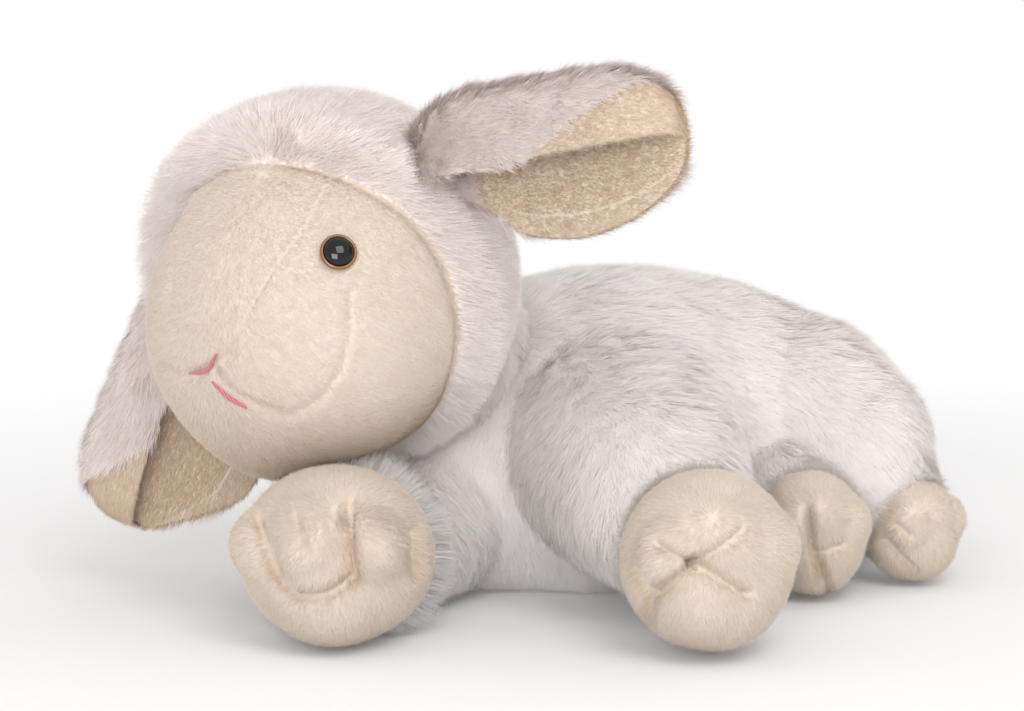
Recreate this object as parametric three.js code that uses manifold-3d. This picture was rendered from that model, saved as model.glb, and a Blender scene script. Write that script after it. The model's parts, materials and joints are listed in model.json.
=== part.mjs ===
// A weighted plush lamb that lies on its belly with its head up. Sewn fabric panels hold fibre
// stuffing and a bag of glass beads. The neck, ears, legs and tail bend where they are sewn on.
// Millimetres, +Z up, nose towards -Y, the lamb's own left side towards +X.
import * as THREE from 'three';
import { mergeVertices } from 'three/addons/utils/BufferGeometryUtils.js';
import Module from 'manifold-3d';

const wasm = await Module();
wasm.setup();
const V = (x, y, z) => new THREE.Vector3(x, y, z);
const radians = THREE.MathUtils.degToRad;

// Cloth, seams and clearances
const coverWall = 2.4; // backing cloth with the roots of its pile
const seamGap = 0.3; // between two sewn edges, and between pieces that rest on each other
const fillEase = 0.9; // between a cover and its stuffing, whose facets are coarser
const seatGap = 0.3; // between a limb's round root and the hollow that it sits in
const bendEase = 1; // left beside the body at the end of a limb's swing
const sweepFacetEase = 3.2; // a coarse cutter's flats lie this much inside its form
const swingDepth = 6; // how much deeper a limb's inside stays clear of the body than its cover
const floorDip = 0.5; // how far a form reaches under the floor before it is cut flat
const settleSoftness = 3; // how gently a resting form curves away from its flat

// Facets round and along each kind of form, on its cover, on what lies inside, and on cutters
const facets = { body: [18, 12], head: [22, 15], neck: [12, 7] };
Object.assign(facets, { limb: [12, 7], paw: [14, 9], leaf: [16, 8] });
const insideFacets = { body: [12, 8], head: [14, 10], limb: [8, 5], paw: [10, 6] };
const cutterFacets = { body: [14, 8], head: [16, 9], limb: [10, 6] };
Object.assign(cutterFacets, { ball: [18, 5], bag: [10, 6], eye: 8 });

// Body: a curled bolster whose middle line runs from the chest's tip to the rump's tip
const body = {
  path: [V(-60, -62, 50), V(-68, -14, 53), V(-66, 36, 52), V(-54, 86, 48), V(-37, 131, 44), V(-28, 172, 40)],
  halfWidth: [54, 68, 71, 64, 52, 40],
  halfHeight: [62, 82, 80, 76, 58, 42],
  fullness: 2.5,
};
const bellySeamHeight = 24;
const beadBag = { at: V(-66, 38, 24), half: V(34, 54, 15), wall: 1.2, slit: 7 };

// Head: balls that blend into one form, placed from the middle of the skull
const head = { at: V(-60, -113, 136), yaw: 17, pitch: 6, roll: 3, blend: 14 };
const headBalls = [
  { at: V(0, 2, 0), radius: 70 }, // skull
  { at: V(0, -19, -6), radius: 60 }, // brow
  { at: V(20, -24, -16), radius: 47 }, // left cheek
  { at: V(-17, -24, -16), radius: 45 }, // right cheek
  { at: V(0, -33, -20), radius: 44 }, // muzzle
  { at: V(0, -28, -38), radius: 36 }, // chin
];
const hoodBall = { at: V(0, 4, 1), radius: 79 }; // the hood's own pile stands round the skull
// The hood meets the face along this side-view line, from under the chin to the forehead (y, z)
const hoodLine = [[6, -92], [-2, -56], [-8, -32], [-10, -8], [-15, 18], [-21, 40], [-34, 62], [-52, 92]];
// The forehead gusset's left seam in the front view (x, z), and the mouth line below it
const gussetSeam = [[3, -20], [9, -9], [17, 5], [25, 26], [30, 42], [29, 60], [27, 95]];
const mouthLine = [[0, -14], [6, -19], [18, -29], [34, -35], [52, -40], [90, -48]];

// Eyes: a dome on a ridged post, a ring round it, and a lock washer inside the face
const eye = { leftX: 46, rightX: -50, z: 30.5, domeRadius: 6, domeHeight: 3.4 };
Object.assign(eye, { ringRadius: 7.6, ringHeight: 1.2 });
Object.assign(eye, { postRadius: 2.2, postLength: 13, ridgeRise: 0.5, ridgeStep: 2.5 });
const washer = { radius: 8, thickness: 2, rise: 1.4, ease: 2.3 };

// Mouth: two short lines of thread that lie in the face's pile, in the front view (x, z)
const stitchRadius = 1.1;
const stitchLeft = [[7, -21], [14, -27], [21, -31]];
const stitchRight = [[10, -9], [5, -16], [-5, -19]];

// Neck: a short tube with two round ends, one seated in the body and one in the head
const neck = { bodyEnd: V(-66, -44, 98), headEnd: V(-62, -68, 114), bodyRadius: 31, headRadius: 28 };
neck.fillShare = 0.7; // how much of the round ends is stuffing that shows through the cover's mouth

// Ears: a leaf whose upper half folds over forwards, with a grey back and a cream lining
const ear = { length: 120, thickness: 3.4, rootRadius: 15, foldAngle: 160, foldFrom: 0.3, foldTo: 0.66 };
ear.rootDepth = 16; // how far the leaf's root end starts inside the head
ear.lowerTurn = -25; // how far the lower half turns forwards by its edge
ear.fullUpper = 48; // where the upper half is narrower than this, the ear thins towards its tip
// Each ear folds along its own line: lower is from there to the lower edge, upper to the folded one
ear.sides = {
  left: { root: V(58, 13, 51), along: V(0.954, 0.01, 0.255), back: V(0, 1, -0.08) },
  right: { root: V(-69.5, 7, 3), along: V(-0.13, -0.34, -0.93), back: V(-0.53, 0.82, -0.2) },
};
Object.assign(ear.sides.left, { lower: [6, 12, 29, 34, 31, 22], upper: [56, 68, 68, 65, 63, 54] });
Object.assign(ear.sides.right, { lower: [10, 24, 40, 50, 46, 14], upper: [38, 50, 56, 62, 67, 58] });

// Legs: each runs from its pivot in the body to the paw, and its cover changes at the wrist
const legs = {
  foreleg_left: {
    pivot: V(-25, 5, 70), rootRadius: 36,
    path: [V(-44, 10, 73), V(-14, 2, 69), V(20, -9, 58), V(56, -21, 46), V(92, -32, 38)],
    half: [33, 41, 43, 38, 31],
    paw: V(103, -38, 38), pawHalf: V(37.5, 38, 39), wristBack: 21, axis: V(0.25, 0.1, 0.96), swing: [-8, 5],
  },
  foreleg_right: {
    pivot: V(-70, -46, 40), rootRadius: 26,
    path: [V(-74, -36, 43), V(-68, -58, 36), V(-52, -84, 28), V(-31, -113, 27), V(-8, -141, 33)],
    half: [23, 29, 33, 33, 30], halfHeight: [24, 28, 27, 26, 30],
    paw: V(-1, -147, 36), pawHalf: V(43, 39, 36), wristBack: 16, axis: V(0, 0, 1), swing: [-2, 8],
  },
  hindleg_left: {
    pivot: V(-1, 119, 58), rootRadius: 27,
    path: [V(-8, 117, 60), V(4, 117, 53), V(16, 118, 44), V(29, 121, 34), V(42, 122, 26)],
    half: [28, 29, 25, 21, 20],
    paw: V(43, 122, 24), pawHalf: V(23, 23, 25), wristBack: 9, axis: V(0.86, -0.5, 0.1), swing: [-1, 6],
    haunch: { at: V(-9, 111, 61), half: V(35, 34, 40), turn: -30 }, beside: 'hindleg_right',
  },
  hindleg_right: {
    pivot: V(1, 76, 34), rootRadius: 20,
    path: [V(-17, 77, 35), V(-3, 76, 34), V(12, 78, 33), V(26, 75, 30), V(38, 72, 28)],
    half: [18, 22, 24, 23, 20],
    paw: V(42, 66, 28), pawHalf: V(26, 26, 29), wristBack: 10, axis: V(0, 0, 1), swing: [-8, 0],
  },
};
const tail = {
  pivot: V(-57, 162, 54), rootRadius: 13, axis: V(0, 0, 1), swing: [-18, 18],
  path: [V(-52, 158, 56), V(-62, 171, 51), V(-71, 180, 41), V(-74, 184, 29)],
  half: [11, 15, 15, 12],
};
const turns = { neckTurn: [-12, 4], headNod: [-2, 12], ear: [-15, 15] };

// Colours of the pile, the hard eyes and the parts inside
const colours = {
  greyFur: ['#d9cfcc', 0.95, 0], creamFur: ['#ead9c6', 0.95, 0], stuffing: ['#f4f4f2', 1, 0],
  beadCloth: ['#c9c6bf', 0.9, 0], beads: ['#bcd0d4', 0.25, 0], pink: ['#de878c', 0.8, 0],
  black: ['#080a0c', 0.08, 0], gold: ['#b0833e', 0.25, 0.1], washerWhite: ['#eceae4', 0.5, 0],
};

// A closed geometry as a solid, and a solid as a geometry
function solid(geometry) {
  const bare = geometry.clone();
  bare.deleteAttribute('normal');
  bare.deleteAttribute('uv');
  const merged = mergeVertices(bare, 1e-4);
  const { Manifold, Mesh } = wasm;
  const vertProperties = Float32Array.from(merged.attributes.position.array);
  const triVerts = Uint32Array.from(merged.index.array);
  return new Manifold(new Mesh({ numProp: 3, vertProperties, triVerts }));
}

function toGeometry(made) {
  const mesh = made.getMesh();
  const geometry = new THREE.BufferGeometry();
  geometry.setAttribute('position', new THREE.BufferAttribute(Float32Array.from(mesh.vertProperties), 3));
  geometry.setIndex(Array.from(mesh.triVerts));
  geometry.computeVertexNormals();
  return geometry;
}

// A sphere whose every point is moved by a function of its place on the unit sphere
function warpedSphere([round, along], place) {
  const bare = new THREE.SphereGeometry(1, round, along);
  bare.deleteAttribute('normal');
  bare.deleteAttribute('uv');
  const geometry = mergeVertices(bare, 1e-5);
  const points = geometry.attributes.position;
  for (let i = 0; i < points.count; i += 1) {
    const at = place(V(points.getX(i), points.getY(i), points.getZ(i)));
    points.setXYZ(i, at.x, at.y, at.z);
  }
  return geometry;
}

// The same form, thicker by a distance all over, or thinner if it is negative
function offset(geometry, distance) {
  const moved = geometry.clone();
  moved.computeVertexNormals();
  const points = moved.attributes.position;
  const normals = moved.attributes.normal;
  for (let i = 0; i < points.count; i += 1) {
    const at = V().fromBufferAttribute(points, i);
    at.addScaledVector(V().fromBufferAttribute(normals, i), distance);
    points.setXYZ(i, at.x, at.y, at.z);
  }
  return moved;
}

// A soft form under its own weight: what would lie under the floor spreads out just below it
function settled(geometry) {
  const points = geometry.attributes.position;
  for (let i = 0; i < points.count; i += 1) {
    const above = points.getZ(i) + floorDip;
    points.setZ(i, -floorDip + 0.5 * (above + Math.hypot(above, settleSoftness)) - 0.25);
  }
  return geometry;
}

const aboveFloor = (made) => made.trimByPlane([0, 0, 1], 0);

// A stuffed tube along a path, round at both ends, with a half width and a half height at each point
function sack({ path, halfWidth, halfHeight = halfWidth, fullness = 2.2 }, detail) {
  const middle = new THREE.CatmullRomCurve3(path);
  const girth = new THREE.CatmullRomCurve3(halfWidth.map((wide, i) => V(wide, halfHeight[i], 0)));
  return warpedSphere(detail, (unit) => {
    const t = THREE.MathUtils.clamp((1 - unit.y) / 2, 0, 1);
    const round = Math.max(1 - Math.abs(unit.y) ** fullness, 0) ** (1 / fullness);
    const ring = Math.hypot(unit.x, unit.z) || 1;
    const tangent = middle.getTangent(t);
    const side = V(0, 0, 1).cross(tangent).normalize();
    const up = tangent.clone().cross(side);
    const size = girth.getPoint(t);
    return middle.getPoint(t)
      .addScaledVector(side, (unit.x / ring) * round * size.x)
      .addScaledVector(up, (unit.z / ring) * round * size.y);
  });
}

// How far a group of balls reaches from the origin in a direction, blended where they meet
function reach(balls, direction, blend) {
  let total = 0;
  for (const { at, radius } of balls) {
    const along = direction.dot(at);
    const root = along * along - at.lengthSq() + radius * radius;
    if (root > 0) total += Math.max(along + Math.sqrt(root), 0) ** blend;
  }
  return total ** (1 / blend);
}

function blendedBalls(balls, blend, detail) {
  return warpedSphere(detail, (unit) => unit.clone().multiplyScalar(reach(balls, unit, blend)));
}

const fromUpright = (axis) => new THREE.Quaternion()
  .setFromUnitVectors(V(0, 1, 0), axis.clone().normalize());

// A limb's round root, with its poles on the axis that it turns about
function ball(at, radius, axis) {
  const sphere = new THREE.SphereGeometry(radius, ...cutterFacets.ball);
  sphere.applyQuaternion(fromUpright(axis));
  sphere.translate(at.x, at.y, at.z);
  return solid(sphere);
}

// The hollow that a round root turns in: its flats, not only its corners, keep the gap
function seat(at, radius, axis, gap = seatGap) {
  return ball(at, (radius + gap) / Math.cos(Math.PI / cutterFacets.ball[0]), axis);
}

// A thin upright or lying sheet along a line, one seam gap thick, that parts two panels.
// The line is drawn in the plane that facing looks at, and the sheet runs from one depth to another.
function seamSheet(line, facing, from, to, gap = seamGap) {
  const curve = new THREE.SplineCurve(line.map(([a, b]) => new THREE.Vector2(a, b)));
  const points = curve.getPoints(Math.ceil(line.length * 1.3));
  const sides = [1, -1].map((side) => points.map((point, i) => {
    const before = points[Math.max(i - 1, 0)];
    const after = points[Math.min(i + 1, points.length - 1)];
    const across = after.clone().sub(before).normalize();
    return new THREE.Vector2(point.x - across.y * side * gap / 2, point.y + across.x * side * gap / 2);
  }));
  const shape = new THREE.Shape([...sides[0], ...sides[1].reverse()]);
  const sheet = new THREE.ExtrudeGeometry(shape, { depth: to - from, bevelEnabled: false });
  sheet.translate(0, 0, from);
  if (facing === 'y') sheet.rotateX(Math.PI / 2); // drawn in x and z, deep along -y
  if (facing === 'x') sheet.applyMatrix4(new THREE.Matrix4().makeBasis(V(0, 1, 0), V(0, 0, 1), V(1, 0, 0)));
  return solid(sheet);
}

// A cut shell's pieces from the lowest to the highest value of a function of their middles
function piecesBy(made, value) {
  const middle = (piece) => {
    const box = piece.boundingBox();
    return V(...box.min).add(V(...box.max)).multiplyScalar(0.5);
  };
  const largeEnough = 20; // cubic millimetres, so that a seam's crumbs are left out
  return made.decompose().filter((piece) => piece.volume() > largeEnough)
    .sort((a, b) => value(middle(a)) - value(middle(b)));
}

const joined = (solids) => solids.reduce((all, one) => all.add(one));
const largest = (made) => made.decompose()
  .reduce((best, one) => (one.volume() > best.volume() ? one : best));

// A solid turned about an axis through a pivot
function turned(made, pivot, axis, angle) {
  const turn = new THREE.Matrix4().makeRotationAxis(axis.clone().normalize(), radians(angle));
  const matrix = new THREE.Matrix4().makeTranslation(pivot.x, pivot.y, pivot.z).multiply(turn)
    .multiply(new THREE.Matrix4().makeTranslation(-pivot.x, -pivot.y, -pivot.z));
  return made.transform(matrix.elements);
}

// What a neighbour sweeps, seen from a piece that swings about the pivot
function sweptPast(neighbour, pivot, axis, [low, high]) {
  return joined([low, 0, high].map((angle) => turned(neighbour, pivot, axis, -angle)));
}

// The scene graph: the lamb, its head, and a group for each joint
const lamb = new THREE.Group();
const groups = { body: lamb };

function jointGroup(name, parent, at, rotation = new THREE.Quaternion()) {
  const made = new THREE.Group();
  made.name = name;
  made.applyMatrix4(groups[parent].matrixWorld.clone().invert()
    .multiply(new THREE.Matrix4().compose(at, rotation, V(1, 1, 1))));
  groups[parent].add(made);
  groups[name] = made;
  lamb.updateMatrixWorld(true);
}

// Puts a solid, given in the lamb's own space, into a group under its name
function put(name, made, finish, groupName = 'body') {
  const geometry = toGeometry(made);
  geometry.applyMatrix4(groups[groupName].matrixWorld.clone().invert());
  const [color, roughness, metalness] = colours[finish];
  const mesh = new THREE.Mesh(geometry, new THREE.MeshStandardMaterial({ color, roughness, metalness }));
  mesh.name = name;
  groups[groupName].add(mesh);
}

const headTurn = new THREE.Quaternion()
  .setFromEuler(new THREE.Euler(radians(head.pitch), radians(head.roll), radians(head.yaw), 'ZXY'));
const headMatrix = new THREE.Matrix4().compose(head.at, headTurn, V(1, 1, 1));
const fromHead = (made) => made.transform(headMatrix.elements);
const toHead = (made) => made.transform(headMatrix.clone().invert().elements);
const headPoint = (local) => local.clone().applyMatrix4(headMatrix);
const headAxis = (local) => local.clone().applyQuaternion(headTurn);

// The body's and the head's forms, before any cover is cut from them
const bodyForm = settled(sack(body, facets.body));
const bodySweep = settled(sack(body, cutterFacets.body));
const bodyInside = settled(sack(body, insideFacets.body));
const headForm = blendedBalls(headBalls, head.blend, facets.head);
const hoodForm = blendedBalls([hoodBall], head.blend, facets.head);
const headSweep = blendedBalls([...headBalls, hoodBall], 40, cutterFacets.head);
const headInside = blendedBalls(headBalls, head.blend, insideFacets.head);

// The head turns about an upright axis and nods about its own crosswise one, nose up
const turnAxis = V(0, 0, 1);
const nodAxis = headAxis(V(-1, 0, 0));

const bodySeats = [];
const headSeats = [];

// Paws: a ball with three toes and a full lower lip
function pawForm({ paw, pawHalf, path }, detail) {
  const forward = path.at(-1).clone().sub(path.at(-2)).setZ(0).normalize();
  const side = V(0, 0, 1).cross(forward);
  const toe = (across, ahead, up, radius) => ({
    at: side.clone().multiplyScalar(across).addScaledVector(forward, ahead).add(V(0, 0, up)), radius,
  });
  const balls = [
    { at: V(0, 0, 0), radius: 0.93 }, toe(0.4, 0.5, 0.2, 0.42), toe(-0.05, 0.56, 0.3, 0.42),
    toe(-0.5, 0.42, 0.15, 0.42), toe(0, 0.3, -0.2, 0.66),
  ];
  const form = blendedBalls(balls, 22, detail);
  form.scale(pawHalf.x, pawHalf.y, pawHalf.z);
  form.translate(paw.x, paw.y, paw.z);
  return settled(form);
}

const limbSack = (leg, detail) => settled(sack({ ...leg, halfWidth: leg.half, fullness: 2.4 }, detail));

// A leg's forms: its tube, its paw and, on the upper hind leg, the haunch
function legForms(leg, detail) {
  const forms = [limbSack(leg, detail.limb), pawForm(leg, detail.paw)];
  if (leg.haunch) {
    const { at, half, turn } = leg.haunch;
    forms.push(settled(warpedSphere(detail.paw, (unit) => unit.clone().multiply(half)
      .applyAxisAngle(V(0, 0, 1), radians(turn)).add(at))));
  }
  return forms;
}

// The room that a leg takes as it swings, grown by a depth
function legSwept(leg, grow) {
  const whole = solid(offset(limbSack(leg, cutterFacets.limb), grow))
    .add(ball(leg.pivot, leg.rootRadius + grow, leg.axis));
  return sweptPast(whole, leg.pivot, leg.axis, leg.swing.map((angle) => -angle));
}

// One layer of a limb: its forms thinned by a depth and cut by its neighbours, on a round root.
// The cover stays clear over its whole swing, and what is inside it lies deeper still.
function limbLayer({ pivot, axis, swing, rootRadius, beside }, forms, depth) {
  const whole = joined(forms.map((form) => solid(depth > 0 ? offset(form, -depth) : form)));
  const clear = bendEase + sweepFacetEase + depth + (depth > 0 ? swingDepth : 0);
  let cutter = solid(offset(bodySweep, clear));
  if (beside) cutter = cutter.add(legSwept(legs[beside], clear));
  const cut = depth > 0 ? cutter : sweptPast(cutter, pivot, axis, swing);
  return whole.subtract(cut).add(ball(pivot, rootRadius - depth, axis));
}

function makeLeg(name, leg) {
  const inner = legForms(leg, insideFacets);
  const outer = aboveFloor(limbLayer(leg, legForms(leg, facets), 0));
  const shell = outer.subtract(limbLayer(leg, inner, coverWall));
  const along = leg.paw.clone().sub(leg.path.at(-2)).normalize();
  const wrist = leg.paw.dot(along) - leg.wristBack;
  const sleeve = shell.trimByPlane(along.clone().negate().toArray(), seamGap / 2 - wrist);
  const paw = shell.trimByPlane(along.toArray(), wrist + seamGap / 2);
  jointGroup(name, 'body', leg.pivot);
  put(`${name}_sleeve`, largest(sleeve), 'greyFur', name);
  put(`${name}_paw_cover`, largest(paw), 'creamFur', name);
  put(`${name}_stuffing`, largest(limbLayer(leg, inner, coverWall + fillEase)), 'stuffing', name);
  bodySeats.push(seat(leg.pivot, leg.rootRadius, leg.axis));
}

function makeTail() {
  const form = sack({ path: tail.path, halfWidth: tail.half }, facets.limb);
  jointGroup('tail', 'body', tail.pivot);
  const outer = limbLayer(tail, [form], 0);
  put('tail', largest(outer), 'greyFur', 'tail');
  bodySeats.push(seat(tail.pivot, tail.rootRadius, tail.axis));
}

// Neck: round ends with a tube of the same girth between them, its fill showing at both ends
function makeNeck() {
  const { bodyEnd, headEnd, bodyRadius, headRadius } = neck;
  const longEnough = 4 * bodyRadius; // the tube reaches past both round ends
  const outer = ball(bodyEnd, bodyRadius, turnAxis).add(ball(headEnd, headRadius, nodAxis));
  const along = headEnd.clone().sub(bodyEnd).normalize();
  const middle = bodyEnd.clone().add(headEnd).multiplyScalar(0.5);
  const core = (radius) => {
    const top = radius * headRadius / bodyRadius;
    const tube = new THREE.CylinderGeometry(top, radius, longEnough, facets.neck[0]);
    tube.applyQuaternion(fromUpright(along));
    tube.translate(middle.x, middle.y, middle.z);
    return solid(tube);
  };
  const fillRadius = bodyRadius * neck.fillShare;
  jointGroup('neck', 'body', bodyEnd);
  put('neck_cover', largest(outer.subtract(core(fillRadius + seamGap))), 'greyFur', 'neck');
  put('neck_stuffing', largest(outer.intersect(core(fillRadius))), 'stuffing', 'neck');
  const far = seatGap + sweepFacetEase;
  bodySeats.push(seat(bodyEnd, bodyRadius, turnAxis),
    sweptPast(ball(headEnd, headRadius + far, nodAxis), bodyEnd, turnAxis, turns.neckTurn));
  headSeats.push(toHead(seat(headEnd, headRadius, nodAxis)),
    toHead(sweptPast(ball(bodyEnd, bodyRadius + far, turnAxis), headEnd, nodAxis, turns.headNod)));
  jointGroup('head', 'neck', headEnd);
}

// Ears: the leaf's cross-section follows a turn that grows from its lower edge to its folded one
function earSection(across, lower, upper) {
  const steps = 12;
  const point = { up: 0, forward: 0 };
  const reachTo = across * (across > 0 ? upper : lower);
  for (let i = 0; i < steps; i += 1) {
    const share = across * (i + 0.5) / steps;
    const folded = THREE.MathUtils.smoothstep(share, ear.foldFrom, ear.foldTo);
    const turn = radians(share > 0 ? ear.foldAngle * folded : -ear.lowerTurn * share);
    point.up += Math.cos(turn) * reachTo / steps;
    point.forward += Math.sin(turn) * reachTo / steps;
    point.turn = turn;
  }
  return point;
}

function earLeaf(side, layer, grow = 0) {
  const { length, thickness } = ear;
  const { lower, upper } = ear.sides[side];
  const outline = new THREE.CatmullRomCurve3(lower.map((low, i) => V(low, upper[i], 0)));
  const mirror = side === 'left' ? -1 : 1;
  const geometry = warpedSphere(facets.leaf, (unit) => {
    const t = THREE.MathUtils.clamp((1 - unit.y) / 2, 0, 1);
    const round = Math.max(1 - Math.abs(unit.y) ** 4, 0) ** (1 / 4);
    const ring = Math.hypot(unit.x, unit.z) || 1;
    const half = outline.getPoint(t).multiplyScalar(round);
    const across = mirror * Math.asin(THREE.MathUtils.clamp(unit.x / ring, -1, 1)) / (Math.PI / 2);
    const section = earSection(across, half.x, half.y);
    const thinner = Math.min(half.y / ear.fullUpper, 1);
    const outer = Math.max((unit.z / ring) * layer, 0) ** 0.5 * round * thickness * thinner;
    const normal = layer * (seamGap / 2 + outer + (unit.z * layer > 0 ? grow : -grow));
    return V((length + ear.rootDepth) * t - ear.rootDepth, section.up + normal * Math.sin(section.turn),
      -section.forward + normal * Math.cos(section.turn));
  });
  geometry.applyMatrix4(earMatrix(side));
  return solid(geometry);
}

function earMatrix(side) {
  const { root, along, back } = ear.sides[side];
  const mirror = side === 'left' ? 1 : -1;
  const x = along.clone().normalize();
  const up = x.clone().cross(back).normalize().multiplyScalar(mirror);
  const out = x.clone().cross(up).multiplyScalar(-mirror);
  return new THREE.Matrix4().makeBasis(x, up, out).setPosition(root);
}

function makeEars() {
  for (const side of ['left', 'right']) {
    const { root } = ear.sides[side];
    const axis = V(0, 1, 0);
    const cutter = solid(offset(headSweep, bendEase + sweepFacetEase));
    const swept = sweptPast(cutter, root, axis, turns.ear);
    const knob = ball(root, ear.rootRadius, axis);
    const back = earLeaf(side, 1).subtract(swept).add(knob).subtract(earLeaf(side, -1, 2 * seamGap));
    const clearOfKnob = earLeaf(side, -1).subtract(ball(root, ear.rootRadius + seamGap, axis));
    const lining = clearOfKnob.subtract(swept).subtract(back);
    const name = `ear_${side}`;
    jointGroup(name, 'head', headPoint(root));
    put(`${name}_back`, fromHead(largest(back)), 'greyFur', name);
    put(`${name}_lining`, fromHead(largest(lining)), 'creamFur', name);
    headSeats.push(seat(root, ear.rootRadius, axis));
  }
}

// Eyes, in the head's space: where the dome's middle meets the face, and which way it looks
function surfacePoint(x, z) {
  let y = -60;
  for (let i = 0; i < 30; i += 1) {
    const at = V(x, y, z);
    y += at.length() - reach(headBalls, at.clone().normalize(), head.blend);
  }
  return V(x, y, z);
}

function surfaceNormal(x, z) {
  const step = 0.5;
  const across = surfacePoint(x + step, z).sub(surfacePoint(x - step, z));
  const up = surfacePoint(x, z + step).sub(surfacePoint(x, z - step));
  return across.cross(up).normalize();
}

function eyeParts(x) {
  const at = surfacePoint(x, eye.z);
  const normal = surfaceNormal(x, eye.z);
  const place = (outline) => {
    const points = outline.map(([r, h]) => new THREE.Vector2(r, h));
    const lathe = new THREE.LatheGeometry(points, cutterFacets.eye);
    lathe.applyQuaternion(fromUpright(normal));
    lathe.translate(at.x, at.y, at.z);
    return solid(lathe);
  };
  const { domeRadius, domeHeight, ringRadius, ringHeight } = eye;
  const { postRadius, postLength, ridgeRise, ridgeStep } = eye;
  const back = 0.4; // how far the ring stands off the cloth
  const profile = [[0, -postLength]];
  for (let h = -postLength + 1; h < -coverWall - washer.thickness - 1; h += ridgeStep) {
    const crest = [postRadius + ridgeRise, h + ridgeStep / 2];
    profile.push([postRadius, h], crest, [postRadius, h + ridgeStep - 0.2]);
  }
  profile.push([postRadius, back], [domeRadius, back]);
  const rings = 4; // facets from the dome's edge to its top
  for (let i = 1; i <= rings; i += 1) {
    const turn = (i / rings) * Math.PI / 2;
    const height = back + ringHeight / 2 + domeHeight * Math.sin(turn);
    profile.push([i === rings ? 0 : domeRadius * Math.cos(turn), height]);
  }
  const inner = domeRadius + seamGap;
  const top = back + ringHeight;
  const bevel = 0.3;
  const ring = [[inner, back], [ringRadius, back], [ringRadius - bevel, top], [inner, top], [inner, back]];
  const hub = postRadius + ridgeRise + seamGap;
  const deep = -postLength - 1; // beyond the post's end
  const well = washer.radius + 1; // the hollow that the stuffing leaves for the washer
  const low = -coverWall - washer.ease - washer.thickness;
  const disc = [[hub, low], [washer.radius, low + washer.rise / 2], [washer.radius, low + washer.thickness]];
  disc.push([hub, low + washer.thickness], [hub, low]);
  return {
    dome: place(profile), ring: place(ring), washer: place(disc),
    hole: place([[0, deep], [hub, deep], [hub, domeRadius], [0, domeRadius]]),
    pocket: place([[0, deep], [well, deep], [well, domeRadius], [0, domeRadius]]),
  };
}

// A stitch of thread that lies half sunk along points of the face
function mouthStitch(points, radius) {
  const sunk = 0.2;
  const extrudePath = new THREE.CatmullRomCurve3(points.map(([x, z]) => surfacePoint(x, z)
    .addScaledVector(surfaceNormal(x, z), sunk)));
  const outline = new THREE.Shape().absarc(0, 0, radius, 0, 2 * Math.PI);
  const options = { steps: 8, curveSegments: 4, extrudePath, bevelEnabled: false };
  return solid(new THREE.ExtrudeGeometry(outline, options));
}

// Head: the shell is parted into a two-piece hood and a face of gusset, two cheeks and a chin
function makeHead() {
  const eyes = { left: eyeParts(eye.leftX), right: eyeParts(eye.rightX) };
  const stitches = { left: stitchLeft, right: stitchRight };
  const farSide = 100;
  const behind = 5; // the face's own seams start a little behind the hood line
  const inside = solid(offset(headInside, -coverWall));
  const beyondSeam = seamSheet(hoodLine, 'x', -farSide, farSide);
  const seated = (made) => headSeats.reduce((left, hollow) => left.subtract(hollow), made);
  const shell = (form) => seated(solid(form).subtract(inside)).subtract(beyondSeam);
  let [face] = piecesBy(shell(headForm), (at) => at.y);
  const hood = piecesBy(shell(hoodForm), (at) => at.y).at(-1);
  const upright = seamSheet([[0, -farSide], [0, 0], [0, farSide]], 'y', -farSide, farSide);
  const halves = piecesBy(hood.subtract(upright), (at) => at.x);
  put('hood_right', fromHead(halves[0]), 'greyFur', 'head');
  put('hood_left', fromHead(halves.at(-1)), 'greyFur', 'head');
  const mirrored = (line) => line.map(([x, z]) => [-x, z]);
  const mouthSeam = [...mirrored(mouthLine).reverse(), ...mouthLine.slice(1)];
  face = face.subtract(seamSheet(mouthSeam, 'y', -farSide, farSide));
  for (const line of [gussetSeam, mirrored(gussetSeam)]) {
    face = face.subtract(seamSheet(line, 'y', behind, farSide));
  }
  for (const side of ['left', 'right']) {
    face = face.subtract(eyes[side].hole).subtract(mouthStitch(stitches[side], stitchRadius + seamGap));
  }
  const [chin, ...upper] = piecesBy(face, (at) => at.z);
  const [right, gusset, left] = piecesBy(joined(upper), (at) => at.x);
  put('chin_panel', fromHead(chin), 'creamFur', 'head');
  put('face_right', fromHead(right), 'creamFur', 'head');
  put('face_gusset', fromHead(gusset), 'creamFur', 'head');
  put('face_left', fromHead(left), 'creamFur', 'head');
  const fill = seated(solid(offset(headInside, -coverWall - fillEase)));
  const emptied = fill.subtract(eyes.left.pocket).subtract(eyes.right.pocket);
  put('head_stuffing', fromHead(largest(emptied)), 'stuffing', 'head');
  for (const side of ['left', 'right']) {
    put(`eye_${side}`, fromHead(eyes[side].dome), 'black', 'head');
    put(`eye_${side}_ring`, fromHead(eyes[side].ring), 'gold', 'head');
    put(`eye_${side}_washer`, fromHead(eyes[side].washer), 'washerWhite', 'head');
    put(`mouth_stitch_${side}`, fromHead(mouthStitch(stitches[side], stitchRadius)), 'pink', 'head');
  }
}

// All the room that the head takes as it turns and nods, grown by a depth
function headSwept(grow) {
  const whole = fromHead(solid(offset(headSweep, bendEase + sweepFacetEase + grow)));
  const nods = turns.headNod.map((angle) => turned(whole, neck.headEnd, nodAxis, angle));
  const turnedBoth = (one) => turns.neckTurn.map((angle) => turned(one, neck.bodyEnd, turnAxis, angle));
  return joined(nods.flatMap(turnedBoth));
}

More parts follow.
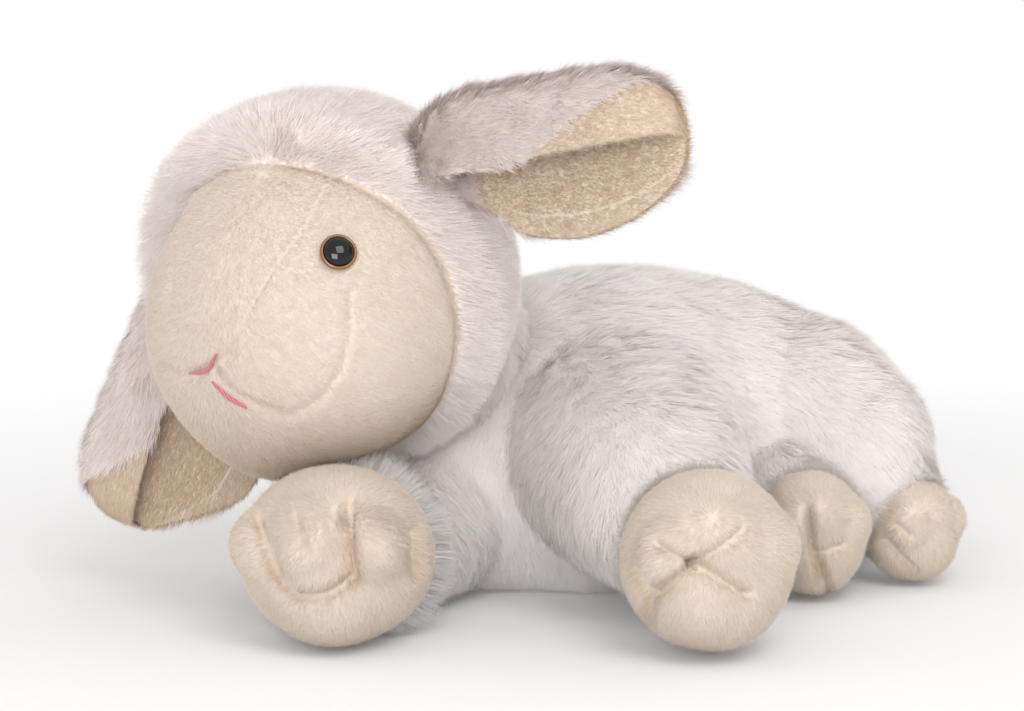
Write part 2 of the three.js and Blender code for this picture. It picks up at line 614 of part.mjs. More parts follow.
// Body: two flanks that meet along the back and the chest, and a belly panel under them
function makeBody() {
  const inside = solid(offset(bodyInside, -coverWall)).subtract(headSwept(coverWall));
  let shell = aboveFloor(solid(bodyForm)).subtract(headSwept(0)).subtract(inside);
  for (const hollow of bodySeats) shell = shell.subtract(hollow);
  const farSide = 200;
  const belly = shell.trimByPlane([0, 0, -1], -bellySeamHeight);
  const flanks = shell.trimByPlane([0, 0, 1], bellySeamHeight + seamGap);
  const first = body.path[0];
  const last = body.path.at(-1);
  const ridge = body.path.map((at) => [at.x, at.y]);
  const spine = [[first.x, first.y - farSide], ...ridge, [last.x, last.y + farSide]];
  const halves = piecesBy(flanks.subtract(seamSheet(spine, 'z', 0, farSide)), (at) => at.x);
  put('belly_panel', largest(belly), 'greyFur');
  put('flank_right', halves[0], 'greyFur');
  put('flank_left', halves.at(-1), 'greyFur');
  const bag = (grow) => {
    const half = beadBag.half.clone().addScalar(grow);
    return solid(warpedSphere(cutterFacets.bag, (unit) => unit.clone().multiply(half).add(beadBag.at)));
  };
  const inner = coverWall + fillEase;
  let fill = solid(offset(bodyInside, -inner)).subtract(headSwept(inner));
  for (const hollow of bodySeats) fill = fill.subtract(hollow);
  const slot = new THREE.BoxGeometry(beadBag.slit, beadBag.slit, farSide);
  slot.translate(beadBag.at.x, beadBag.at.y, beadBag.at.z - farSide / 2);
  put('body_stuffing', largest(fill.subtract(bag(seamGap)).subtract(solid(slot))), 'stuffing');
  const neckHole = new THREE.CylinderGeometry(beadBag.slit / 2, beadBag.slit / 2, farSide, 8);
  neckHole.translate(beadBag.at.x, beadBag.at.y - farSide / 2, beadBag.at.z);
  put('bead_bag', largest(bag(0).subtract(bag(-beadBag.wall)).subtract(solid(neckHole))), 'beadCloth');
  put('glass_beads', bag(-beadBag.wall - seamGap), 'beads');
}

for (const [name, leg] of Object.entries(legs)) makeLeg(name, leg);
makeTail();
makeNeck();
makeEars();
makeHead();
makeBody();

// The origin stands on the floor under the middle of the toy
const box = new THREE.Box3().setFromObject(lamb, true);
lamb.position.set(-(box.min.x + box.max.x) / 2, -(box.min.y + box.max.y) / 2, -box.min.z);
lamb.updateMatrixWorld(true);

export default lamb;
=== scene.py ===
"""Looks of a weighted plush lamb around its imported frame.

The lamb lies on its belly. Sewn cloth forms carry a pile of real strands: long and grey-white on
the hood, body, sleeves and ear backs, short and cream on the face, paws and ear linings. Sizes in
this script are millimetres in the pattern's own space, and Space places them in the frame.
"""
from __future__ import annotations

import json
import logging
import math
from dataclasses import dataclass, field
from enum import Enum
from typing import Callable, Sequence

import bmesh
import bpy
import numpy as np
from mathutils import Matrix, Vector
from mathutils.bvhtree import BVHTree

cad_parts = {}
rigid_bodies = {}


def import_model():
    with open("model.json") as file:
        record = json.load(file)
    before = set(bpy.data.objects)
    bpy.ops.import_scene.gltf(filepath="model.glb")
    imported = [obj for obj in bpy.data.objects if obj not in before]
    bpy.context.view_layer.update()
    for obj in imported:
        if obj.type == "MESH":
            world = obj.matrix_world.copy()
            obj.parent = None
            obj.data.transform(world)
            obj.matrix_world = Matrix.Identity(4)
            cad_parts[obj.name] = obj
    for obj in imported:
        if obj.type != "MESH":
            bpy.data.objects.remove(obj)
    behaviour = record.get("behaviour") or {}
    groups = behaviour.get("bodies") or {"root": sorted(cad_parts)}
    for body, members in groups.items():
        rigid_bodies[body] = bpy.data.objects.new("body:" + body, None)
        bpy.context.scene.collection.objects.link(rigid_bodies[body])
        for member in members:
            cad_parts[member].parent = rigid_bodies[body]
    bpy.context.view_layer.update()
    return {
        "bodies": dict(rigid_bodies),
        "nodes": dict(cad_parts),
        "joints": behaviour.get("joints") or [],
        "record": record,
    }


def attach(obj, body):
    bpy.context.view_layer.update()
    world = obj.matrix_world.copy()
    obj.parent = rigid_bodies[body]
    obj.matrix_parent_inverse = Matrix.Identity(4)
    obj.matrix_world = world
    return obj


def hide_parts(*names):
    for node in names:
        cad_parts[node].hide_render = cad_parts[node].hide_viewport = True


LOG = logging.getLogger("plush_lamb")
Array = np.ndarray
Field = Callable[[Array, Array], Array]
UP = np.array([0.0, 0.0, 1.0])
MM = 0.001
FILLET = 54.0  # how near its neighbour a form begins to swell towards it
MOST_STRANDS = 190_000  # in one piece
ROOT_DEPTH = 0.4  # how far a strand's root lies under its cloth
FLOOR_GAP = 0.25  # the least height of a strand over the floor
LIT_BY_STRAND = 0.42  # how much a strand's own flat turns its light, against the form's normal


class Region(Enum):
    """Which cloth a face is cut from, by its finish's place in TWO_CLOTHS."""

    GREY = 0
    CREAM = 1

    @classmethod
    def of(cls, cream: Array) -> Array:
        """Each face's region, from whether it is cream."""
        return np.where(cream, cls.CREAM.value, cls.GREY.value)


TWO_CLOTHS = ("grey_backing", "cream_backing")


# Curves, directions and noise


def unit(vectors: Array) -> Array:
    """Vectors scaled to a length of one."""
    return vectors / np.maximum(np.linalg.norm(vectors, axis=-1, keepdims=True), 1e-9)


def smooth(low: float, high: float, value: Array) -> Array:
    """A smooth step from 0 at low to 1 at high."""
    share = np.clip((value - low) / (high - low), 0, 1)
    return share * share * (3 - 2 * share)


def curve_points(points: Array, t: Array) -> Array:
    """Points on a centripetal Catmull-Rom curve, as the cut patterns use.

    Args:
        points: the points that the curve passes, one a row.
        t: places along it, from 0 to 1.
    Returns:
        One point of the curve for each place.
    """
    first, last = 2 * points[0] - points[1], 2 * points[-1] - points[-2]
    padded = np.vstack([first, points, last])
    count = len(points)
    place = np.clip(t, 0, 1) * (count - 1)
    at = np.minimum(place.astype(int), count - 2)
    weight = (place - at)[:, None]
    p0, p1, p2, p3 = (padded[at + k] for k in range(4))
    steps = [np.linalg.norm(b - a, axis=1, keepdims=True) ** 0.5 for a, b in ((p0, p1), (p1, p2), (p2, p3))]
    middle = np.where(steps[1] < 1e-4, 1, steps[1])
    before = np.where(steps[0] < 1e-4, middle, steps[0])
    after = np.where(steps[2] < 1e-4, middle, steps[2])
    t1 = ((p1 - p0) / before - (p2 - p0) / (before + middle) + (p2 - p1) / middle) * middle
    t2 = ((p2 - p1) / middle - (p3 - p1) / (middle + after) + (p3 - p2) / after) * middle
    squared = -3 * p1 + 3 * p2 - 2 * t1 - t2
    cubed = 2 * p1 - 2 * p2 + t1 + t2
    return p1 + t1 * weight + squared * weight**2 + cubed * weight**3


def waves(points: Array, size: float, seed: int) -> Array:
    """A smooth, seeded noise from about -1 to 1 over points, whose waves are about size long."""
    rng = np.random.default_rng(seed)
    total = np.zeros(len(points))
    for _ in range(6):
        direction = unit(rng.normal(size=3)) * rng.uniform(0.7, 1.6) * 2 * math.pi / size
        total += np.sin(points @ direction + rng.uniform(0, 2 * math.pi))
    return total / 3


def near_line(points: Array, line: Array) -> Array:
    """How far each point lies from a line of straight runs, in two or three dimensions."""
    best = np.full(len(points), 1e9)
    for start, end in zip(line[:-1], line[1:]):
        run = end - start
        share = np.clip((points - start) @ run / max(float(run @ run), 1e-9), 0, 1)
        best = np.minimum(best, np.linalg.norm(points - start - share[:, None] * run, axis=1))
    return best


@dataclass(frozen=True)
class Space:
    """Where the pattern's own millimetres lie in the frame, in metres."""

    shift: tuple[float, float, float]

    @classmethod
    def from_frame(cls, frame: dict, joint: str, pattern_place: Sequence[float]) -> "Space":
        """Finds the shift from a joint whose place in the pattern is known."""
        found = next(j for j in frame["joints"] if j["name"] == joint)
        return cls(tuple(np.array(found["pos_m"]) / MM - np.array(pattern_place)))

    def to_frame(self, points: Array) -> Array:
        """Pattern millimetres to frame metres."""
        return (points + np.array(self.shift)) * MM


# Objects


def added(name: str, data: bpy.types.ID) -> bpy.types.Object:
    """A new object in the scene."""
    made = bpy.data.objects.new(name, data)
    bpy.context.scene.collection.objects.link(made)
    return made


def ended(name: str, mesh: bmesh.types.BMesh, material: bpy.types.Material) -> bpy.types.Object:
    """Turns a bmesh into a smooth object of one finish."""
    data = bpy.data.meshes.new(name)
    mesh.to_mesh(data)
    mesh.free()
    data.polygons.foreach_set("use_smooth", np.ones(len(data.polygons), bool))
    data.materials.append(material)
    return added(name, data)


def from_side(azimuth: float, elevation: float) -> Vector:
    """The direction towards a viewer at these angles in degrees; azimuth 0 looks along +Y."""
    a, e = math.radians(azimuth), math.radians(elevation)
    return Vector((math.sin(a) * math.cos(e), -math.cos(a) * math.cos(e), math.sin(e)))


# Materials


class Socket:
    """A shader value that takes part in Python sums."""

    def __init__(self, tree: bpy.types.NodeTree, source: bpy.types.NodeSocket | float) -> None:
        """Wraps an output socket or a plain number."""
        self.tree = tree
        self.source = source

    def _math(self, operation: str, first: object, second: object) -> "Socket":
        """A Math node on two values, each a Socket or a number."""
        node = self.tree.nodes.new("ShaderNodeMath")
        node.operation = operation
        for slot, value in zip(node.inputs, (first, second)):
            if isinstance(value, Socket):
                self.tree.links.new(value.source, slot)
            else:
                slot.default_value = float(value)
        return Socket(self.tree, node.outputs[0])

    def __add__(self, other: object) -> "Socket":
        """self + other."""
        return self._math("ADD", self, other)

    __radd__ = __add__

    def __sub__(self, other: object) -> "Socket":
        """self - other."""
        return self._math("SUBTRACT", self, other)

    def __rsub__(self, other: object) -> "Socket":
        """other - self."""
        return self._math("SUBTRACT", other, self)

    def __mul__(self, other: object) -> "Socket":
        """self * other."""
        return self._math("MULTIPLY", self, other)

    __rmul__ = __mul__

    def __truediv__(self, other: object) -> "Socket":
        """self / other."""
        return self._math("DIVIDE", self, other)

    def __pow__(self, other: object) -> "Socket":
        """self to a power."""
        return self._math("POWER", self, other)


Colour = tuple[float, float, float]


def linear(red: int, green: int, blue: int) -> Colour:
    """A colour as it looks on a screen, from 0 to 255, as linear values."""
    def one(value: int) -> float:
        share = value / 255
        return share / 12.92 if share <= 0.04045 else ((share + 0.055) / 1.055) ** 2.4
    return one(red), one(green), one(blue)


class Nodes:
    """A node tree, emptied, and the nodes that are added to it."""

    def __init__(self, tree: bpy.types.NodeTree) -> None:
        """Starts with no nodes."""
        self.tree = tree
        self.tree.nodes.clear()

    def feed(self, slot: bpy.types.NodeSocket, value: object) -> None:
        """Gives a socket a Socket, another node's output, a colour or a plain value."""
        if isinstance(value, Socket):
            self.tree.links.new(value.source, slot)
        elif isinstance(value, bpy.types.NodeSocket):
            self.tree.links.new(value, slot)
        elif isinstance(value, tuple) and slot.type == "RGBA":
            slot.default_value = (*value, 1)
        else:
            slot.default_value = value

    def node(self, kind: str, settings: dict | None = None, inputs: dict | None = None) -> bpy.types.Node:
        """Adds a node.

        Args:
            kind: the node's type.
            settings: its own settings, which are set first; "stops" are a ramp's.
            inputs: values or links by socket name or number.
        Returns:
            The node.
        """
        made = self.tree.nodes.new(kind)
        for key, value in (settings or {}).items():
            if key == "stops":
                ramp = made.color_ramp
                while len(ramp.elements) < len(value):
                    ramp.elements.new(0.5)
                for element, (place, colour) in zip(ramp.elements, value):
                    element.position = place
                    element.color = (*colour, 1)
            else:
                setattr(made, key, value)
        for key, value in (inputs or {}).items():
            self.feed(made.inputs[key], value)
        return made

    def value(self, source: bpy.types.NodeSocket) -> Socket:
        """Wraps an output for sums."""
        return Socket(self.tree, source)

    def end(self, kind: str, socket: str, last: bpy.types.NodeSocket) -> None:
        """Ends the tree in an output node of this kind."""
        self.tree.links.new(last, self.tree.nodes.new(kind).inputs[socket])


class Shader(Nodes):
    """One material and the nodes that it is built from."""

    def __init__(self, name: str) -> None:
        """Starts an empty material of this name."""
        self.material = bpy.data.materials.new(name)
        self.material.use_nodes = True
        super().__init__(self.material.node_tree)

    def object_place(self) -> bpy.types.NodeSocket:
        """Object coordinates, in metres."""
        return self.node("ShaderNodeTexCoord").outputs["Object"]

    def noise(self, scale: float, detail: float) -> Socket:
        """Noise over object coordinates, from 0 to 1."""
        inputs = {"Vector": self.object_place(), "Scale": scale, "Detail": detail, "Roughness": 0.5}
        return self.value(self.node("ShaderNodeTexNoise", inputs=inputs).outputs["Fac"])

    def mix(self, factor: object, first: object, second: object, blend: str = "MIX") -> bpy.types.NodeSocket:
        """Mixes two colours by a factor."""
        settings = {"data_type": "RGBA", "blend_type": blend}
        return self.node("ShaderNodeMix", settings, {0: factor, 6: first, 7: second}).outputs[2]

    def ramp(self, factor: object, stops: list) -> bpy.types.NodeSocket:
        """A colour ramp of (place, colour) stops."""
        return self.node("ShaderNodeValToRGB", {"stops": stops}, {"Fac": factor}).outputs["Color"]

    def bump(self, height: object, distance: float, strength: float = 1.0) -> bpy.types.NodeSocket:
        """A bump's normal, its height's full step being distance metres."""
        inputs = {"Height": height, "Distance": distance, "Strength": strength}
        return self.node("ShaderNodeBump", inputs=inputs).outputs["Normal"]

    def finish(self, inputs: dict) -> bpy.types.Material:
        """Ends the material in a Principled shader with these inputs."""
        shader = self.node("ShaderNodeBsdfPrincipled", inputs=inputs)
        self.end("ShaderNodeOutputMaterial", "Surface", shader.outputs["BSDF"])
        return self.material


@dataclass(frozen=True)
class PileFinish:
    """Colours of a pile's strands: a tone from 0, deep, to 1, pale, and darker towards the root, a painted
    shade deep in the pile.
    """

    name: str
    deep: Colour
    middle: Colour
    pale: Colour
    root: Colour

    def material(self) -> bpy.types.Material:
        """Reads the tone and the place along the strand from the strands' own map."""
        made = Shader(self.name)
        layer = made.node("ShaderNodeUVMap", {"uv_map": STRAND_MAP})
        parts = made.node("ShaderNodeSeparateXYZ", inputs={"Vector": layer.outputs["UV"]})
        tone = made.value(parts.outputs["X"])
        along = made.value(parts.outputs["Y"]) / STRAND_MAP_HEIGHT
        stops = [(0.0, self.deep), (0.5, self.middle), (1.0, self.pale)]
        tip = made.ramp(tone, stops)
        # Painted shade deep in the pile: the colour darkens towards each strand's root.
        shaded_root = made.mix(1.0, tip, self.root, "MULTIPLY")
        colour = made.mix(along**0.6, shaded_root, tip)
        return made.finish({"Base Color": colour, "Roughness": 0.75, "Specular IOR Level": 0.25,
                            "Sheen Weight": 0.12, "Sheen Roughness": 0.4})


@dataclass(frozen=True)
class ClothFinish:
    """The backing cloth under a pile, close in colour to the pile's roots."""

    name: str
    light: Colour
    dark: Colour

    def material(self) -> bpy.types.Material:
        """A fine knitted cloth whose tone wanders a little."""
        made = Shader(self.name)
        knit = made.noise(1600, 1)
        broad = made.noise(60, 3)
        colour = made.mix(knit * 0.6 + broad * 0.4, self.dark, self.light)
        return made.finish({"Base Color": colour, "Roughness": 0.95, "Specular IOR Level": 0.1,
                            "Normal": made.bump(knit, 0.0004, 0.6)})


@dataclass(frozen=True)
class HardFinish:
    """A glossy or matt hard plastic."""

    name: str
    colour: Colour
    worn: Colour
    roughness: float
    coat: float = 0.0
    metallic: float = 0.0

    def material(self) -> bpy.types.Material:
        """Moulded plastic with faint handling marks in its gloss."""
        made = Shader(self.name)
        marks = made.noise(900, 2)
        colour = made.mix(marks * 0.5, self.colour, self.worn)
        return made.finish({"Base Color": colour, "Roughness": marks * 0.06 + self.roughness,
                            "Metallic": self.metallic, "Coat Weight": self.coat, "Coat Roughness": 0.02})


@dataclass(frozen=True)
class ThreadFinish:
    """Embroidery thread, twisted, with painted shade in the valleys between its strands."""

    name: str
    colour: Colour
    groove_shade: Colour

    def material(self) -> bpy.types.Material:
        """Twist lines come from the fine waves of the object's place."""
        made = Shader(self.name)
        place = made.object_place()
        wave = made.node("ShaderNodeTexWave", {"bands_direction": "DIAGONAL"},
                         {"Vector": place, "Scale": 380.0, "Distortion": 1.5, "Detail": 2.0})
        twist = made.value(wave.outputs["Fac"])
        # The valleys of the twist take the painted shade colour.
        colour = made.mix(twist, self.groove_shade, self.colour)
        return made.finish({"Base Color": colour, "Roughness": 0.7, "Sheen Weight": 0.2,
                            "Normal": made.bump(twist, 0.0005, 0.8)})


@dataclass(frozen=True)
class FillFinish:
    """Loose fibre, or small glass beads packed together."""

    name: str
    light: Colour
    dark: Colour
    grain: float
    roughness: float

    def material(self) -> bpy.types.Material:
        """Packed grains or tufts of about 1/grain metres."""
        made = Shader(self.name)
        cells = made.node("ShaderNodeTexVoronoi", {"feature": "F1"},
                          {"Vector": made.object_place(), "Scale": self.grain})
        near = made.value(cells.outputs["Distance"])
        # Darker away from each grain's middle: painted shade between the grains.
        colour = made.mix(near, self.light, self.dark)
        return made.finish({"Base Color": colour, "Roughness": self.roughness,
                            "Normal": made.bump(1 - near, 0.3 / self.grain, 0.7)})


STRAND_MAP = "OFBake"  # each strand's tone across and its length up
STRAND_MAP_HEIGHT = 0.25
STRAND_MAP_WIDTH = 0.003

# The deep end of each pile's ramp also carries painted shade, which the tone fields put into folds, seams,
# under the throat and chin and along the floor.
GREY_PILE = PileFinish("grey_pile", linear(222, 207, 202), linear(249, 243, 240), linear(254, 251, 250),
                       (0.97, 0.955, 0.95))
CREAM_PILE = PileFinish("cream_pile", linear(202, 174, 138), linear(222, 209, 195), linear(230, 221, 211),
                        (0.97, 0.95, 0.92))
GREY_CLOTH = ClothFinish("grey_backing", linear(240, 232, 228), linear(230, 219, 214))
CREAM_CLOTH = ClothFinish("cream_backing", linear(222, 209, 195), linear(214, 199, 181))
PINK_THREAD = ThreadFinish("pink_thread", linear(226, 138, 144), linear(190, 92, 104))
EYE_BLACK = HardFinish("eye_dome", linear(6, 7, 9), linear(10, 10, 12), 0.03)
EYE_GOLD = HardFinish("eye_ring", linear(140, 96, 34), linear(84, 50, 14), 0.16, 0.6)
WASHER_WHITE = HardFinish("lock_washer", linear(236, 234, 228), linear(222, 219, 210), 0.45)
FIBRE = FillFinish("fibre_stuffing", linear(244, 244, 242), linear(214, 212, 208), 320, 0.95)
BEADS = FillFinish("glass_beads", linear(206, 222, 226), linear(132, 158, 166), 700, 0.2)
BAG_CLOTH = ClothFinish("bead_bag_cloth", linear(206, 203, 196), linear(180, 176, 168))


# Forms


def in_fixed_order(triangles: Array) -> Array:
    """The same triangles in an order that is the same each run, each from its lowest corner on.

    bmesh gives its faces in another order each run, and the seeded draws pick them by their place.
    """
    lowest = triangles.argmin(axis=1)[:, None]
    turned = np.take_along_axis(triangles, (lowest + np.arange(3)) % 3, axis=1)
    return turned[np.lexsort(turned.T[::-1])]


@dataclass
class Skin:
    """A cloth form's mesh in pattern millimetres, with values carried by its vertices."""

    points: Array
    normals: Array
    triangles: Array
    values: dict[str, Array] = field(default_factory=dict)

    @classmethod
    def from_sphere(cls, segments: tuple[int, int], place: Callable[[Array], Array],
                    carried: Callable[[Array], dict[str, Array]] | None = None) -> "Skin":
        """Warps a unit sphere into a form.

        Args:
            segments: faces round and along the sphere.
            place: moves unit-sphere points, whose poles are on y, to the form.
            carried: values for the vertices, worked out from the unit points.
        Returns:
            The skin, its faces outwards.
        """
        mesh = bmesh.new()
        bmesh.ops.create_uvsphere(mesh, u_segments=segments[0], v_segments=segments[1], radius=1)
        bmesh.ops.triangulate(mesh, faces=mesh.faces[:])
        co = np.array([v.co[:] for v in mesh.verts])
        units = unit(np.stack([co[:, 0], co[:, 2], -co[:, 1]], axis=1))
        placed = place(units)
        for vertex, point in zip(mesh.verts, placed):
            vertex.co = point
        mesh.normal_update()
        points = np.array([v.co[:] for v in mesh.verts])
        normals = np.array([v.normal[:] for v in mesh.verts])
        triangles = in_fixed_order(np.array([[v.index for v in f.verts] for f in mesh.faces]))
        mesh.free()
        skin = cls(points, normals, triangles, carried(units) if carried else {})
        if skin.volume() < 0:
            skin.triangles = skin.triangles[:, ::-1]
        skin.refresh()
        return skin

    def volume(self) -> float:
        """The closed form's volume, below 0 where its faces look inwards."""
        a, b, c = (self.points[self.triangles[:, k]] for k in range(3))
        return float((a * np.cross(b, c)).sum() / 6)

    def refresh(self) -> None:
        """Works the vertex normals out again after points have moved."""
        a, b, c = (self.points[self.triangles[:, k]] for k in range(3))
        faces = np.cross(b - a, c - a)
        total = np.zeros_like(self.points)
        for k in range(3):
            np.add.at(total, self.triangles[:, k], faces)
        self.normals = unit(total)

    def moved(self, distance: Array) -> "Skin":
        """The same skin with each point moved along its normal."""
        points = self.points + self.normals * distance[:, None]
        made = Skin(points, self.normals, self.triangles, self.values)
        made.refresh()
        return made

    def tree(self) -> BVHTree:
        """A search tree over the skin."""
        return BVHTree.FromPolygons(self.points.tolist(), self.triangles.tolist())

    def keep(self, mask: Array) -> "Skin":
        """Only the triangles whose corners all pass a mask."""
        chosen = mask[self.triangles].all(axis=1)
        return Skin(self.points, self.normals, self.triangles[chosen], self.values)


def settle(points: Array, dip: float = 0.5, softness: float = 3.0) -> Array:
    """A soft form under its own weight: what would lie under the floor spreads out just on it."""
    above = points[:, 2] + dip
    points = points.copy()
    points[:, 2] = 0.5 * (above + np.hypot(above, softness)) - 0.25 - dip + 0.6
    return points


@dataclass(frozen=True)
class Sack:
    """A stuffed tube along a path, round at both ends."""

    path: Array
    half_width: Array
    half_height: Array
    fullness: float = 2.4
    segments: tuple[int, int] = (96, 72)
    inset: float = 0.0

    def frame_at(self, t: Array) -> tuple[Array, Array]:
        """The tube's side and its upper direction at places along it."""
        step = 1e-3
        tangent = unit(curve_points(self.path, t + step) - curve_points(self.path, t - step))
        side = unit(np.cross(UP, tangent))
        return side, np.cross(tangent, side)

    def place(self, units: Array) -> Array:
        """Moves unit-sphere points onto the tube."""
        t = np.clip((1 - units[:, 1]) / 2, 0, 1)
        round_off = np.maximum(1 - np.abs(units[:, 1]) ** self.fullness, 0) ** (1 / self.fullness)
        ring = np.maximum(np.hypot(units[:, 0], units[:, 2]), 1e-9)
        side, up = self.frame_at(t)
        girth = curve_points(np.stack([self.half_width, self.half_height, 0 * self.half_width], axis=1), t)
        across = (units[:, 0] / ring) * round_off * (girth[:, 0] - self.inset)
        above = (units[:, 2] / ring) * round_off * (girth[:, 1] - self.inset)
        return curve_points(self.path, t) + side * across[:, None] + up * above[:, None]

    def skin(self) -> Skin:
        """The tube's skin, at rest on the floor."""
        made = Skin.from_sphere(self.segments, lambda u: settle(self.place(u)),
                                lambda u: {"along": np.clip((1 - u[:, 1]) / 2, 0, 1)})
        return made


def reach(balls: Sequence[tuple[Sequence[float], float]], directions: Array, blend: float) -> Array:
    """How far a group of balls reaches from the origin in each direction, blended where they meet."""
    total = np.zeros(len(directions))
    for at, radius in balls:
        along = directions @ np.array(at, float)
        root = along**2 - float(np.dot(at, at)) + radius**2
        far = along + np.sqrt(np.maximum(root, 0))
        total += np.where(root > 0, np.maximum(far, 0), 0) ** blend
    return total ** (1 / blend)


@dataclass(frozen=True)
class Crease:
    """A fold or sewn line that pulls the cloth in, parts the pile and paints shade into it.

    It is drawn by the points of a line, in three dimensions or in a plane that is looked at.
    """

    line: tuple
    depth: float = 3.0
    width: float = 2.6
    # how far the fold's painted shade darkens the pile
    shade: float = 0.5

    def amount(self, points: Array) -> Array:
        """1 on the line and 0 away from it."""
        away = near_line(points, np.array(self.line, float))
        return np.exp(-((away / self.width) ** 2))


@dataclass(frozen=True)
class Bulge:
    """A soft lump of filling under the cloth."""

    at: tuple
    radius: float
    rise: float

    def amount(self, points: Array) -> Array:
        """Its height over each point."""
        away = np.linalg.norm(points - np.array(self.at, float), axis=1) / self.radius
        return self.rise * (1 - smooth(0, 1, away))


# Pile


@dataclass(frozen=True)
class Pile:
    """How a pile grows: tufts of strands that lean, bend and differ in length."""

    density: float = 5.2  # strands on a square millimetre
    length: float = 9.5
    width: float = 0.32
    lean: float = 66.0  # from upright
    tuft: int = 12  # strands that share a tuft
    spread: float = 2.2  # radius of a tuft at its root
    gather: float = 0.1  # how far tips are drawn to the tuft's own
    wild: float = 0.14  # how far each strand strays
    sway: float = 0.09  # how much tufts differ from their neighbours in lean and direction
    tone_spread: float = 0.1  # how far strands differ in tone


GREY = Pile()
CREAM = Pile(density=5.4, length=3.3, width=0.3, lean=66.0, tuft=1, spread=0.0, gather=0.0, wild=0.15,
             sway=0.02, tone_spread=0.14)


@dataclass
class Growth:
    """What one skin's pile takes from the places that it grows on."""

    comb: Field
    tone: Field | None = None
    length: Field | None = None
    lean: Field | None = None
    blocked: Sequence[BVHTree] = ()
    block_depth: float = 1.5


def clearance(points: Array, trees: Sequence[BVHTree], limit: float = 60.0) -> Array:
    """How far each point lies outside the nearest of some closed skins, below 0 inside one."""
    least = np.full(len(points), limit)
    for tree in trees:
        for i, point in enumerate(points):
            found, normal, _, away = tree.find_nearest(point, limit)
            if found is None:
                continue
            signed = -away if (Vector(point) - found).dot(normal) < 0 else away
            least[i] = min(least[i], signed)
    return least


def filleted(skin: Skin, trees: Sequence[BVHTree], reach_of_fillet: float) -> Skin:
    """Swells a skin towards its neighbours, so that the two meet in a soft hollow."""
    if not trees:
        return skin
    near = np.maximum(reach_of_fillet - np.abs(clearance(skin.points, trees)), 0) / reach_of_fillet
    made = skin.moved(near**2 * reach_of_fillet / 4)
    made.points[:, 2] = np.maximum(made.points[:, 2], 0.4)
    return made


def inside_any(points: Array, trees: Sequence[BVHTree], depth: float) -> Array:
    """Which points lie more than depth inside one of the closed skins."""
    hidden = np.zeros(len(points), bool)
    for tree in trees:
        for i in np.flatnonzero(~hidden):
            found, normal, _, away = tree.find_nearest(points[i])
            if found is not None and away > depth and (Vector(points[i]) - found).dot(normal) < 0:
                hidden[i] = True
    return hidden


